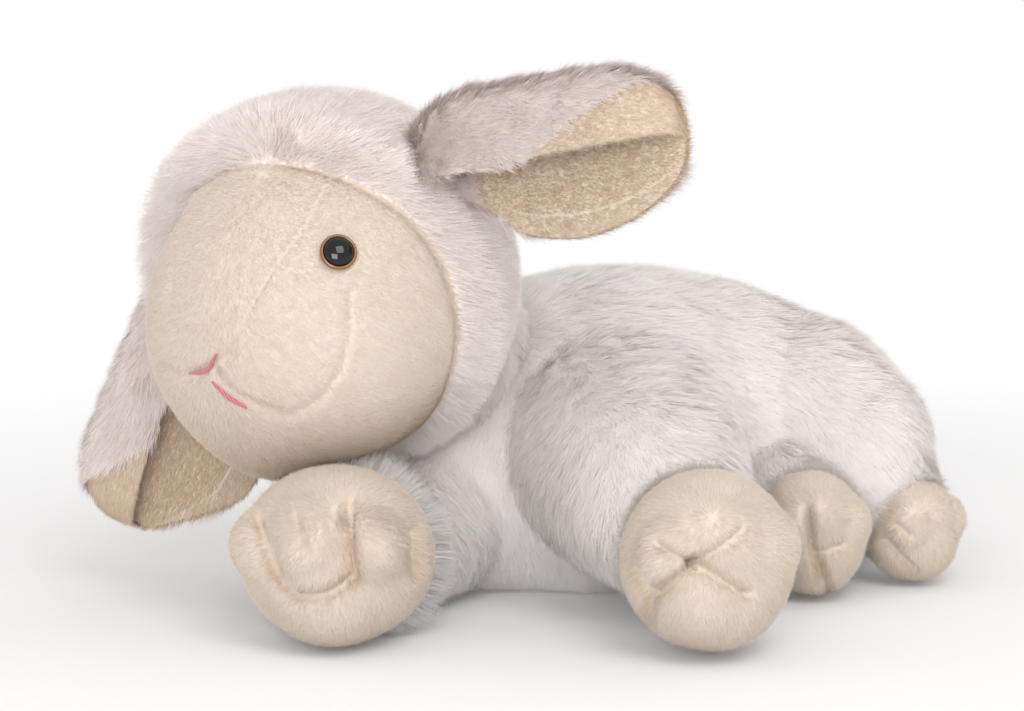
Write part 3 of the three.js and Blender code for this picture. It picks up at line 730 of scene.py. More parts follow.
class PileMaker:
    """Grows strands on skins as one mesh, from a seeded random source."""

    def __init__(self, space: Space) -> None:
        """Keeps the space that finished strands are placed in."""
        self.space = space

    @staticmethod
    def sample(skin: Skin, count: int, rng: np.random.Generator) -> tuple[Array, Array]:
        """Random places on a skin, even over its area, with their normals."""
        a, b, c = (skin.points[skin.triangles[:, k]] for k in range(3))
        areas = np.linalg.norm(np.cross(b - a, c - a), axis=1) / 2
        picked = rng.choice(len(areas), size=count, p=areas / areas.sum())
        r1, r2 = np.sqrt(rng.random(count))[:, None], rng.random(count)[:, None]
        weights = (1 - r1, r1 * (1 - r2), r1 * r2)
        corners = skin.triangles[picked]
        points = sum(w * skin.points[corners[:, k]] for k, w in enumerate(weights))
        normals = sum(w * skin.normals[corners[:, k]] for k, w in enumerate(weights))
        return points, unit(normals)

    @staticmethod
    def area(skin: Skin) -> float:
        """The skin's area in square millimetres."""
        a, b, c = (skin.points[skin.triangles[:, k]] for k in range(3))
        return float(np.linalg.norm(np.cross(b - a, c - a), axis=1).sum() / 2)

    def grow(self, name: str, skin: Skin, pile: Pile, growth: Growth, material: bpy.types.Material,
             seed: int) -> list[bpy.types.Object]:
        """Makes the strands of one skin.

        Args:
            name: the piece's name.
            skin: the cloth that the pile is woven into.
            pile: the pile's own measures.
            growth: how it lies and looks from place to place.
            material: its finish.
            seed: what its chance is drawn from.
        Returns:
            The mesh objects, with the strands' map, parted where there are many.
        """
        rng = np.random.default_rng(seed)
        share = 1.0
        tufts = max(int(self.area(skin) * pile.density * share / pile.tuft), 1)
        points, normals = self.sample(skin, tufts, rng)
        shown = ~inside_any(points, growth.blocked, growth.block_depth)
        points, normals = points[shown], normals[shown]

        def of_place(wanted: Field | None, usual: float) -> Array:
            return wanted(points, normals) if wanted else np.full(len(points), usual)

        comb = growth.comb(points, normals)
        swirl = pile.sway * (2.4 * waves(points, 30, seed + 1) + rng.normal(size=len(points)) * 1.2)
        comb = unit(comb - normals * (comb * normals).sum(1, keepdims=True))
        beside = np.cross(normals, comb)
        comb = comb * np.cos(swirl)[:, None] + beside * np.sin(swirl)[:, None]
        beside = np.cross(normals, comb)
        lengths = pile.length * of_place(growth.length, 1.0)
        leans = np.radians(pile.lean) * of_place(growth.lean, 1.0) + waves(points, 11, seed + 2) * pile.sway
        tones = of_place(growth.tone, 0.6) + waves(points, 18, seed + 3) * 0.04
        tones = tones + rng.normal(size=len(points)) * pile.tone_spread * 0.5

        def fan(values: Array) -> Array:
            return np.repeat(values, pile.tuft, axis=0)

        n, c, b, count = fan(normals), fan(comb), fan(beside), len(points) * pile.tuft
        ring, turn = pile.spread * np.sqrt(rng.random(count)), rng.uniform(0, 2 * math.pi, count)
        base = fan(points) + c * (ring * np.cos(turn))[:, None] + b * (ring * np.sin(turn))[:, None]
        base = base - n * ROOT_DEPTH
        lean = fan(leans) + rng.normal(size=count) * pile.wild * 0.6
        long = fan(lengths) * rng.uniform(0.62, 1.15, count)
        side = b * (rng.normal(size=count) * pile.wild)[:, None]
        run = unit(c * np.sin(lean)[:, None] + n * np.cos(lean)[:, None] + side)
        middle_run = comb * np.sin(leans)[:, None] + normals * np.cos(leans)[:, None]
        heart = fan(points + middle_run * lengths[:, None])
        tip = base + run * long[:, None]
        tip = tip + (heart - tip) * pile.gather
        twist = rng.normal(size=count) * 0.3
        flat = unit(np.cross(run, n))
        wide = unit(flat * np.cos(twist)[:, None] + np.cross(run, flat) * np.sin(twist)[:, None])
        front = np.cross(wide, run)
        turned = np.sign((front * n).sum(1, keepdims=True) + 1e-9)
        half = wide * turned * (pile.width / 2 * rng.uniform(0.7, 1.2, count))[:, None]
        lit = unit(n + front * turned * LIT_BY_STRAND)
        tone = np.clip(fan(tones) + rng.normal(size=count) * pile.tone_spread, 0.02, 0.98)
        corners = np.stack([base - half, base + half, tip], axis=1)
        corners[:, :, 2] = np.maximum(corners[:, :, 2], FLOOR_GAP)
        order = np.argsort(fan(points)[:, 1], kind="stable")
        shares = np.array_split(order, count // MOST_STRANDS + 1)
        names = [name] if len(shares) == 1 else [f"{name}_{i + 1}" for i in range(len(shares))]
        return [self.mesh(n, corners[s], tone[s], lit[s], material) for n, s in zip(names, shares)]

    def mesh(self, name: str, corners: Array, tone: Array, lit: Array,
             material: bpy.types.Material) -> bpy.types.Object:
        """Writes strands, a triangle each, with their map and the way that each is lit."""
        count = len(corners)
        mesh = bpy.data.meshes.new(name)
        mesh.vertices.add(3 * count)
        placed = self.space.to_frame(corners.reshape(-1, 3))
        mesh.vertices.foreach_set("co", placed.astype(np.float32).ravel())
        mesh.loops.add(3 * count)
        mesh.loops.foreach_set("vertex_index", np.arange(3 * count, dtype=np.int32))
        mesh.polygons.add(count)
        mesh.polygons.foreach_set("loop_start", np.arange(0, 3 * count, 3, dtype=np.int32))
        mesh.polygons.foreach_set("use_smooth", np.ones(count, bool))
        mesh.update(calc_edges=True)
        normals = mesh.attributes.new("custom_normal", "FLOAT_VECTOR", "POINT")
        normals.data.foreach_set("vector", np.repeat(lit, 3, axis=0).astype(np.float32).ravel())
        layer = mesh.uv_layers.new(name=STRAND_MAP)
        u = tone[:, None] + np.array([-1, 1, 0])[None, :] * STRAND_MAP_WIDTH / 2
        v = np.broadcast_to(np.array([0.04, 0.04, 1.0])[None, :] * STRAND_MAP_HEIGHT, u.shape)
        layer.data.foreach_set("uv", np.stack([u, v], axis=2).astype(np.float32).ravel())
        mesh.materials.append(material)
        return added(name, mesh)


# Workshop


class Workshop:
    """Turns skins and profiles into objects, and keeps the finishes."""

    def __init__(self, frame: dict, space: Space) -> None:
        """Keeps the frame and makes each finish once."""
        self.frame = frame
        self.space = space
        self.pile_maker = PileMaker(space)
        finishes = (GREY_PILE, CREAM_PILE, GREY_CLOTH, CREAM_CLOTH, PINK_THREAD, EYE_BLACK, EYE_GOLD,
                    WASHER_WHITE, FIBRE, BEADS, BAG_CLOTH)
        self.finishes = {finish.name: finish.material() for finish in finishes}

    def cloth(self, name: str, skin: Skin, body: str, materials: Sequence[str], nodes: Sequence[str],
              choice: Array | None = None) -> bpy.types.Object:
        """Makes a skin an object that stands for its solids.

        Args:
            name: the piece's name.
            skin: its mesh.
            body: what it rides on.
            materials: its finishes.
            nodes: the solids that it replaces.
            choice: which finish each triangle wears.
        Returns:
            The object.
        """
        mesh = bpy.data.meshes.new(name)
        mesh.from_pydata(self.space.to_frame(skin.points).tolist(), [], skin.triangles.tolist())
        for material in materials:
            mesh.materials.append(self.finishes[material])
        if choice is not None:
            mesh.polygons.foreach_set("material_index", choice.astype(np.int32))
        mesh.polygons.foreach_set("use_smooth", np.ones(len(mesh.polygons), bool))
        used = np.zeros(len(skin.points), bool)
        used[skin.triangles.ravel()] = True
        if not used.all():
            cleaner = bmesh.new()
            cleaner.from_mesh(mesh)
            bmesh.ops.delete(cleaner, geom=[v for v in cleaner.verts if not v.link_faces], context="VERTS")
            cleaner.to_mesh(mesh)
            cleaner.free()
        made = added(name, mesh)
        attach(made, body)
        if nodes:
            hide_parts(*nodes)
        LOG.info("%s: %d triangles", name, len(skin.triangles))
        return made

    def pile(self, name: str, skin: Skin, pile: Pile, growth: Growth, finish: str, body: str,
             seed: int) -> None:
        """Grows a pile, and lets it ride with its cloth."""
        for made in self.pile_maker.grow(name, skin, pile, growth, self.finishes[finish], seed):
            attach(made, body)
            LOG.info("%s: %d faces", made.name, len(made.data.polygons))

    def turned(self, name: str, profile: Sequence[tuple[float, float]], place: Matrix, finish: str,
               body: str, node: str) -> bpy.types.Object:
        """Spins a profile of (radius, height) points about its axis, and puts it in place."""
        mesh = bmesh.new()
        points = [mesh.verts.new((r * MM, 0, h * MM)) for r, h in profile]
        edges = [mesh.edges.new(pair) for pair in zip(points[:-1], points[1:])]
        bmesh.ops.spin(mesh, geom=points + edges, cent=(0, 0, 0), axis=(0, 0, 1), angle=2 * math.pi,
                       steps=64, use_merge=True)
        bmesh.ops.remove_doubles(mesh, verts=mesh.verts[:], dist=1e-6)
        bmesh.ops.recalc_face_normals(mesh, faces=mesh.faces[:])
        bmesh.ops.transform(mesh, matrix=place, verts=mesh.verts[:])
        made = ended(name, mesh, self.finishes[finish])
        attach(made, body)
        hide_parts(node)
        return made


# How the long pile is brushed


@dataclass(frozen=True)
class Brush:
    """Guide hairs: at each place a direction, which nearby strands follow."""

    guides: tuple
    reach: float = 38.0

    def comb(self, points: Array, normals: Array) -> Array:
        """The guides' directions, the near ones weighing most."""
        total = np.zeros_like(points)
        for place, direction in self.guides:
            away = ((points - np.array(place, float)) ** 2).sum(1) / self.reach**2
            total += unit(np.array(direction, float)) * (1 / (away + 0.15) ** 2)[:, None]
        return unit(total)


BODY_BRUSH = Brush((
    ((-66, -30, 125), (0.1, 0.9, -0.1)),
    ((-66, 40, 138), (0.15, 0.95, -0.15)),
    ((-30, 150, 100), (0.2, 0.7, -0.6)),
    ((-26, 176, 60), (0.1, 0.4, -0.9)),
    ((0, 40, 80), (0.35, 0.6, -0.6)),
    ((5, 40, 25), (0.2, 0.5, -0.8)),
    ((-20, 0, 112), (0.5, 0.45, -0.5)),
    ((20, 0, 95), (0.5, 0.45, -0.7)),
    ((50, -15, 75), (0.5, 0.3, -0.8)),
    ((60, -50, 40), (0.25, 0.1, -0.95)),
    ((20, -45, 60), (0.3, 0.4, -0.85)),
    ((5, -45, 30), (0.45, 0.35, -0.8)),
    ((-20, -62, 75), (0.12, -0.05, -1)),
    ((-30, -75, 50), (0.05, -0.1, -1)),
    ((-20, -62, 20), (0.1, 0.0, -1)),
    ((-45, -70, 95), (0.3, -0.3, -0.9)),
    ((-50, -95, 50), (0.4, -0.6, -0.6)),
    ((-15, -130, 55), (0.5, -0.5, 0.1)),
    ((0, 110, 105), (0.4, 0.55, -0.6)),
    ((30, 110, 65), (0.35, 0.35, -0.85)),
    ((-125, 40, 70), (-0.2, 0.6, -0.75)),
    ((-110, -40, 60), (-0.2, 0.2, -1)),
))


# The lamb


@dataclass
class Torso:
    """The curled bolster of the body, its back seam from the chest's tip to the rump."""

    path: Array = field(default_factory=lambda: np.array([
        [-60, -62, 50], [-68, -14, 53], [-66, 36, 52],
        [-54, 86, 48], [-37, 131, 44], [-28, 172, 40]], float))
    half_width: Array = field(default_factory=lambda: np.array([54, 68, 71, 64, 52, 40], float))
    half_height: Array = field(default_factory=lambda: np.array([62, 82.5, 82.5, 78, 58, 42], float))
    inset: float = 1.5

    def skin(self) -> Skin:
        """The bolster, a little inside the sewn form's pile."""
        return Sack(self.path, self.half_width, self.half_height, 2.5, (128, 128), self.inset).skin()

    def tone(self, points: Array, normals: Array) -> Array:
        """Painted shade under the throat and along the floor, and deeper towards the rump."""
        # throat and low hold the painted shade; rear only darkens towards the rump.
        throat = np.exp(-(((points - np.array([-40, -66, 92])) / np.array([46, 34, 40])) ** 2).sum(1))
        low = 1 - smooth(2, 26, points[:, 2])
        rear = smooth(20, 120, points[:, 1])
        return 0.78 - 0.26 * throat - 0.12 * low - 0.26 * rear

    def build(self, shop: Workshop, neighbours: Sequence[BVHTree], skin: Skin) -> None:
        """Makes the body's cloth and its pile."""
        nodes = ["flank_left", "flank_right", "belly_panel"]
        shop.cloth("body_cloth", skin, "body", ["grey_backing"], nodes)
        floor_free = lambda p, n: np.where((n[:, 2] < -0.7) & (p[:, 2] < 4), 0.35, 1.0)  # noqa: E731
        growth = Growth(BODY_BRUSH.comb, self.tone, floor_free, blocked=neighbours)
        shop.pile("body_pile", skin, GREY, growth, "grey_pile", "body", 11)


def turn_matrix(yaw: float, pitch: float, roll: float) -> Array:
    """Rz(yaw) Rx(pitch) Ry(roll), in degrees."""
    turns = ((yaw, "Z"), (pitch, "X"), (roll, "Y"))
    z, x, y = (Matrix.Rotation(math.radians(angle), 3, axis) for angle, axis in turns)
    return np.array(z @ x @ y)


@dataclass
class Head:
    """The head: a form of blended balls, a hood of grey pile round a face of cream pile."""

    at: Array = field(default_factory=lambda: np.array([-60.0, -113, 136]))
    turn: Array = field(default_factory=lambda: turn_matrix(17, 6, 3))
    blend: float = 14
    balls: tuple = (((0, 2, 0), 70), ((0, -19, -6), 60), ((20, -24, -16), 47), ((-17, -24, -16), 45),
                    ((0, -33, -20), 44), ((0, -28, -38), 36))
    hood_line: tuple = (  # (y, z) from under the chin to the brow
        (6, -92), (-2, -56), (-8, -32), (-10, -8), (-15, 18), (-21, 40), (-34, 62), (-52, 92))
    eyes: tuple = (("left", 46.0, 0.6), ("right", -50.0, 6.6))  # side, x, and how deep it is drawn in
    eye_height: float = 30.5
    hood_slant: float = 0.19  # the hood comes further forward on the lamb's right
    hood_ahead: float = -1.5
    hood_ball: tuple = ((-5, 3, 1.5), 80.8)
    hood_inset: float = 1.6  # of the hood's cloth under the solids' form
    face_inset: float = 1.6
    creases: tuple = (  # the gusset's seams, the cheek's fold and the mouth's two
        Crease(((26, -28, 58), (30, -49, 42), (26, -65, 26), (19, -77, 5.5), (10, -82, -9)),
               1.3, 1.6, 0.2),
        Crease(((53, -48, 16), (57, -54, -0.5), (55, -58, -15), (48, -63, -26.5), (36, -70, -35)),
               1.4, 2.2, 0.14),
        Crease(((-26, -28, 58), (-30, -49, 42), (-26, -65, 26), (-19, -77, 5.5), (-10, -82, -9)),
               0.8, 1.4, 0.08),
        Crease(((14, -81, -8), (5, -82, -15), (-2, -82, -19), (-12, -81, -21), (-25, -78, -21)),
               2.0, 2.2, 0.22),
        Crease(((9, -82, -17), (11, -82, -20), (17, -80, -25), (24, -77, -29), (37, -70, -35)),
               2.0, 2.4, 0.22),
    )

    def to_pattern(self, local: Array) -> Array:
        """Head-local millimetres to the pattern's space."""
        return local @ self.turn.T + self.at

    def to_local(self, points: Array) -> Array:
        """The pattern's space to head-local millimetres."""
        return (points - self.at) @ self.turn

    def surface(self, x: float, z: float) -> Array:
        """The point of the face at x and z in the front view, head-local."""
        at = np.array([x, -60.0, z])
        for _ in range(40):
            far = reach(self.balls, unit(at)[None, :], self.blend)[0]
            at[1] += float(np.linalg.norm(at)) - float(far)
        return at

    def surface_normal(self, x: float, z: float) -> Array:
        """The way that the face looks at x and z, head-local."""
        across = self.surface(x + 0.5, z) - self.surface(x - 0.5, z)
        up = self.surface(x, z + 0.5) - self.surface(x, z - 0.5)
        return unit(np.cross(across, up))

    def in_face(self, local: Array) -> Array:
        """How far a place lies in front of the hood's line, in millimetres along y."""
        line = np.array(self.hood_line, float)
        seam = np.interp(local[:, 2], line[:, 1], line[:, 0]) + self.hood_slant * local[:, 0]
        return seam - self.hood_ahead - local[:, 1]

    def skin(self) -> Skin:
        """The whole head with its folds, in the pattern's space."""
        def place(units: Array) -> Array:
            face = reach(self.balls, units, self.blend) - self.face_inset
            hood = np.maximum(reach([self.hood_ball], units, self.blend) - self.hood_inset, face)
            near = units * face[:, None]
            raised = smooth(-1.0, 4 + 9 * smooth(-60, -10, near[:, 0]), -self.in_face(near))
            return units * (face + (hood - face) * raised)[:, None]

        made = Skin.from_sphere((192, 144), place)
        sunk = np.zeros(len(made.points))
        for crease in self.creases:
            sunk -= crease.depth * crease.amount(made.points)
        front = self.in_face(made.points)
        sunk -= 1.8 * np.exp(-(((front - 2) / 3.5) ** 2))
        for _, x, depth in self.eyes:
            away = np.linalg.norm(made.points - self.surface(x, self.eye_height), axis=1)
            sunk -= (1.4 + 0.6 * depth) * np.exp(-((away / 9.0) ** 2))
        made = made.moved(sunk)
        made.values["face"] = self.in_face(made.points)
        made.points = self.to_pattern(made.points)
        made.normals = made.normals @ self.turn.T
        return made

    def hood_comb(self, points: Array, normals: Array) -> Array:
        """Away from the face, and down towards the throat."""
        local = self.to_local(points)
        flow = np.stack([0.012 * local[:, 0], np.full(len(local), 0.9), -0.35 + 0.004 * local[:, 2]], axis=1)
        return unit(flow) @ self.turn.T

    def hood_lean(self, points: Array, normals: Array) -> Array:
        """More upright beside the face."""
        return 0.7 + 0.3 * smooth(0, 30, -self.in_face(self.to_local(points)))

    def hood_tone(self, points: Array, normals: Array) -> Array:
        """A little deeper beside the face, a painted shade in the seam there, and paler low on the head."""
        local = self.to_local(points)
        seam_shade = np.exp(-((self.in_face(local) / 5) ** 2))
        return 0.3 - 0.04 * seam_shade + 0.14 * (1 - smooth(-40, 20, local[:, 2]))

    def face_comb(self, points: Array, normals: Array) -> Array:
        """Back from the nose, and down over the cheeks."""
        local = self.to_local(points)
        flow = np.stack([0.02 * local[:, 0], np.full(len(local), 0.35), -0.5 - 0.002 * local[:, 2]], axis=1)
        return unit(flow) @ self.turn.T

    def face_tone(self, points: Array, normals: Array) -> Array:
        """Painted shade in the folds, along the hood's seam and under the chin."""
        local = self.to_local(points)
        tone = np.full(len(local), 0.62)
        for crease in self.creases:
            tone -= crease.shade * crease.amount(local)
        tone -= 0.06 * np.exp(-((self.in_face(local) / 4) ** 2))
        return tone - 0.26 * (1 - smooth(-64, -30, local[:, 2]))

    def face_length(self, points: Array, normals: Array) -> Array:
        """Clipped short round the eyes."""
        local = self.to_local(points)
        factor = np.ones(len(local))
        for _, x, depth in self.eyes:
            away = np.linalg.norm(local - self.surface(x, self.eye_height), axis=1)
            factor *= smooth(max(6.5 - depth, 1.0), max(9.5 - depth, 3.0), away)
        return np.maximum(factor, 0.05)

    def build(self, shop: Workshop, skin: Skin, hidden: Sequence[BVHTree]) -> None:
        """Makes the head's cloth, its two piles, the eyes and the mouth."""
        face = skin.values["face"][skin.triangles].mean(axis=1) > 0
        nodes = ["hood_left", "hood_right", "chin_panel", "face_left", "face_right", "face_gusset"]
        shop.cloth("head_cloth", skin, "head", TWO_CLOTHS, nodes, Region.of(face))
        hood = skin.keep(skin.values["face"] < 0.5)
        front = skin.keep(skin.values["face"] > -0.5)
        growth = Growth(self.hood_comb, self.hood_tone, None, self.hood_lean, hidden)
        shop.pile("hood_pile", hood, GREY, growth, "grey_pile", "head", 21)
        growth = Growth(self.face_comb, self.face_tone, self.face_length)
        shop.pile("face_pile", front, CREAM, growth, "cream_pile", "head", 22)
        for side, x, depth in self.eyes:
            self.build_eye(shop, side, x, depth)
        self.build_mouth(shop)

    def build_eye(self, shop: Workshop, side: str, x: float, depth: float) -> None:
        """A domed black eye in a gold ring, drawn in by its post."""
        normal = self.surface_normal(x, self.eye_height)
        centre = self.surface(x, self.eye_height) - normal * depth
        spot = self.to_pattern(centre[None, :])[0]
        facing = Vector(self.turn @ normal)
        place = Matrix.Translation(Vector(shop.space.to_frame(spot[None, :])[0])) @ \
            facing.to_track_quat("Z", "Y").to_matrix().to_4x4()
        dome = [(0.0, -13), (1.9, -12.6), (2.2, -12), (2.2, 0.2), (6.0, 0.2)]
        dome += [(6.2 * math.cos(a), 0.9 + 3.3 * math.sin(a)) for a in np.linspace(0, math.pi / 2, 14)[:-1]]
        dome.append((0.0, 4.2))
        shop.turned(f"eye_{side}_dome", dome, place, "eye_dome", "head", f"eye_{side}")
        ring = [(6.25, 0.2), (7.4, 0.2), (7.6, 0.6), (7.35, 1.2)]
        ring += [(6.9, 1.6), (6.4, 1.5), (6.25, 1.0), (6.25, 0.2)]
        shop.turned(f"eye_{side}_gold_ring", ring, place, "eye_ring", "head", f"eye_{side}_ring")

    def build_mouth(self, shop: Workshop) -> None:
        """Two short lines of pink thread that lie in the folds of the mouth."""
        lines = {"left": ((7, -21), (14, -27), (21, -31)), "right": ((10, -9), (5, -16), (-5, -19))}
        for side, line in lines.items():
            path = np.array([self.surface(x, z) - 0.3 * self.surface_normal(x, z) for x, z in line])
            spots = self.to_pattern(curve_points(path, np.linspace(0, 1, 60)))
            shop_piece = Thread(spots, radius=0.95).build(shop, f"mouth_thread_{side}", "head")
            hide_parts(f"mouth_stitch_{side}")


@dataclass
class Thread:
    """A short length of twisted thread along a line."""

    spots: Array
    radius: float
    ply: int = 3
    turns: float = 5.0

    def build(self, shop: Workshop, name: str, body: str) -> bpy.types.Object:
        """Sweeps a three-ply section along the line by extruding rings."""
        mesh = bmesh.new()
        count, around = len(self.spots), 18
        tangents = unit(np.gradient(self.spots, axis=0))
        loops = []
        for i, (spot, tangent) in enumerate(zip(self.spots, tangents)):
            side = unit(np.cross(tangent, UP))
            up = np.cross(side, tangent)
            ends = math.sin(math.pi * min(max(i / (count - 1), 0.03), 0.97)) ** 0.35
            phase = 2 * math.pi * self.turns * i / count
            loop = []
            for k in range(around):
                angle = 2 * math.pi * k / around
                size = self.radius * ends * (0.86 + 0.14 * abs(math.cos((angle * self.ply + phase) / 2)))
                point = spot + side * math.cos(angle) * size + up * math.sin(angle) * size
                loop.append(mesh.verts.new(shop.space.to_frame(point[None, :])[0]))
            loops.append(loop)
            for k in range(around):
                mesh.edges.new((loop[k], loop[(k + 1) % around]))
        for first, second in zip(loops[:-1], loops[1:]):
            edges = [mesh.edges.get((ring[k], ring[(k + 1) % around])) for ring in (first, second)
                     for k in range(around)]
            bmesh.ops.bridge_loops(mesh, edges=edges)
        for ring in (loops[0], loops[-1]):
            bmesh.ops.contextual_create(mesh, geom=[mesh.edges.get((ring[k], ring[(k + 1) % around]))
                                                    for k in range(around)])
        bmesh.ops.recalc_face_normals(mesh, faces=mesh.faces[:])
        made = ended(name, mesh, shop.finishes["pink_thread"])
        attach(made, body)
        return made


@dataclass
class Neck:
    """The soft tube between the body and the head, under the hood's pile."""

    body_end: Array = field(default_factory=lambda: np.array([-66.0, -44, 98]))
    head_end: Array = field(default_factory=lambda: np.array([-62.0, -68, 114]))
    girth: tuple = (32, 37, 37, 34)

    def skin(self) -> Skin:
        """A short sack through both round ends."""
        run = self.head_end - self.body_end
        path = np.array([self.body_end - run * 1.1, self.body_end, self.head_end, self.head_end + run * 0.9])
        girth = np.array(self.girth, float)
        return Sack(path, girth, girth, 2.2, (72, 48)).skin()

    def build(self, shop: Workshop, skin: Skin, hidden: Sequence[BVHTree]) -> None:
        """Makes the neck's cloth and pile."""
        shop.cloth("neck_cloth", skin, "neck", ["grey_backing"], ["neck_cover"])
        # Painted shade under the head: darker than the body's pile, paler from 90 to 130 mm up.
        tone = lambda p, n: 0.46 + 0.12 * smooth(90, 130, p[:, 2])  # noqa: E731
        growth = Growth(BODY_BRUSH.comb, tone, blocked=hidden)
        shop.pile("neck_pile", skin, GREY, growth, "grey_pile", "neck", 31)


@dataclass
class Ear:
    """A leaf that folds over forwards: grey pile behind, cream in front and round the rim."""

    side: str
    root: tuple
    along: tuple
    back: tuple
    lower_half: tuple
    upper_half: tuple
    cream_tip: tuple  # how far along the cream begins at the fold's crest, and how much sooner by its rim
    length: float = 120
    root_depth: float = 16
    thickness: float = 3.4
    fold: tuple = (160, 0.3, 0.66)
    lower_turn: float = -25

    def section(self, across: Array, lower: Array, upper: Array) -> tuple[Array, Array, Array]:
        """Follows the leaf's cross-section from its spine to a place across it."""
        steps = 16
        up, forward, turn = (np.zeros(len(across)) for _ in range(3))
        far = across * np.where(across > 0, upper, lower)
        for i in range(steps):
            share = across * (i + 0.5) / steps
            folded = smooth(self.fold[1], self.fold[2], share)
            turn = np.radians(np.where(share > 0, self.fold[0] * folded, -self.lower_turn * share))
            up += np.cos(turn) * far / steps
            forward += np.sin(turn) * far / steps
        return up, forward, turn

    def placed(self, units: Array, head: Head) -> Array:
        """Moves unit-sphere points onto the closed leaf."""
        mirror = 1 if self.side == "left" else -1
        t = np.clip((1 - units[:, 1]) / 2, 0, 1)
        round_off = np.maximum(1 - np.abs(units[:, 1]) ** 4, 0) ** 0.25
        ring = np.maximum(np.hypot(units[:, 0], units[:, 2]), 1e-9)
        halves = np.stack([self.lower_half, self.upper_half, np.zeros(6)], axis=1)
        half = curve_points(halves, t) * round_off[:, None]
        across = -mirror * np.arcsin(np.clip(units[:, 0] / ring, -1, 1)) / (math.pi / 2)
        up, forward, turn = self.section(across, half[:, 0], half[:, 1])
        thin = np.minimum(half[:, 1] / 48, 1)
        out = np.sign(units[:, 2]) * np.sqrt(np.abs(units[:, 2]) / ring) * round_off * self.thickness * thin
        local = np.stack([(self.length + self.root_depth) * t - self.root_depth,
                          up + out * np.sin(turn), -forward + out * np.cos(turn)], axis=1)
        x = unit(np.array(self.along, float))
        high = unit(np.cross(x, np.array(self.back, float))) * mirror
        outward = np.cross(x, high) * -mirror
        return head.to_pattern(local @ np.stack([x, high, outward]) + np.array(self.root, float))

    def carried(self, units: Array) -> dict[str, Array]:
        """Each vertex's place along and across the leaf, and which layer it is in."""
        mirror = 1 if self.side == "left" else -1
        ring = np.maximum(np.hypot(units[:, 0], units[:, 2]), 1e-9)
        across = -mirror * np.arcsin(np.clip(units[:, 0] / ring, -1, 1)) / (math.pi / 2)
        return {"t": np.clip((1 - units[:, 1]) / 2, 0, 1), "across": across, "layer": units[:, 2] / ring}

    def build(self, shop: Workshop, head: Head, hidden: Sequence[BVHTree], seed: int) -> None:
        """Makes the leaf's cloth and its two piles."""
        body = f"ear_{self.side}"
        skin = Skin.from_sphere((144, 96), lambda u: self.placed(u, head), self.carried)
        t, across = skin.values["t"], skin.values["across"]
        rim = (t > self.cream_tip[0] - self.cream_tip[1] * (across - 0.48)) & (across > 0.3)
        rim |= (t > 0.96) | ((across < -0.9) & (t > 0.4))
        cream = ((skin.values["layer"] < 0) & (t > 0.22)) | rim
        choice = cream[skin.triangles].all(axis=1)
        nodes = [f"{body}_back", f"{body}_lining"]
        shop.cloth(f"{body}_cloth", skin, body, TWO_CLOTHS, nodes, Region.of(choice))
        tipward = head.turn @ unit(np.array(self.along, float))
        comb = lambda p, n: unit(tipward + np.array([0, 0, -0.25]) + 0 * p)  # noqa: E731
        root = head.to_pattern(np.array([self.root], float))[0]
        # Painted shade at the ear's root, where it meets the head.
        tone = lambda p, n: 0.24 - 0.1 * np.exp(-((((p - root) @ tipward) / 24) ** 2))  # noqa: E731
        lining = Pile(density=4.0, length=3.8, width=0.34, lean=64, tuft=1, spread=0, wild=0.16, sway=0.03)
        folded = cream & (skin.values["layer"] < 0) & (across > -0.7) & (across < 0.9)
        shop.pile(f"{body}_back_pile", skin.keep(~cream), GREY, Growth(comb, tone, blocked=hidden),
                  "grey_pile", body, seed)
        shop.pile(f"{body}_rim_pile", skin.keep(cream & ~folded), lining, Growth(comb, tone, blocked=hidden),
                  "cream_pile", body, seed + 1)
        # The lining inside the fold is deep in tone: partly the lining's own brownish colour, partly painted
        # shade inside the fold.
        deep = lambda p, n: np.full(len(p), 0.14)  # noqa: E731
        shop.pile(f"{body}_lining_pile", skin.keep(folded), lining, Growth(comb, deep, blocked=hidden),
                  "cream_pile", body, seed + 2)


def ears() -> tuple[Ear, Ear]:
    """The left ear, which stands out sideways, and the right one, which hangs."""
    return (
        Ear("left", (58, 13, 51), (0.954, 0.01, 0.255), (0, 1, -0.08), (6, 12, 29, 34, 31, 22),
            (56, 68, 68, 65, 63, 54), (0.99, 0.92)),
        Ear("right", (-69.5, 7, 3), (-0.13, -0.34, -0.93), (-0.53, 0.82, -0.2), (10, 24, 40, 50, 46, 14),
            (35, 45, 51, 57, 63, 56), (0.92, 0.37)),
    )


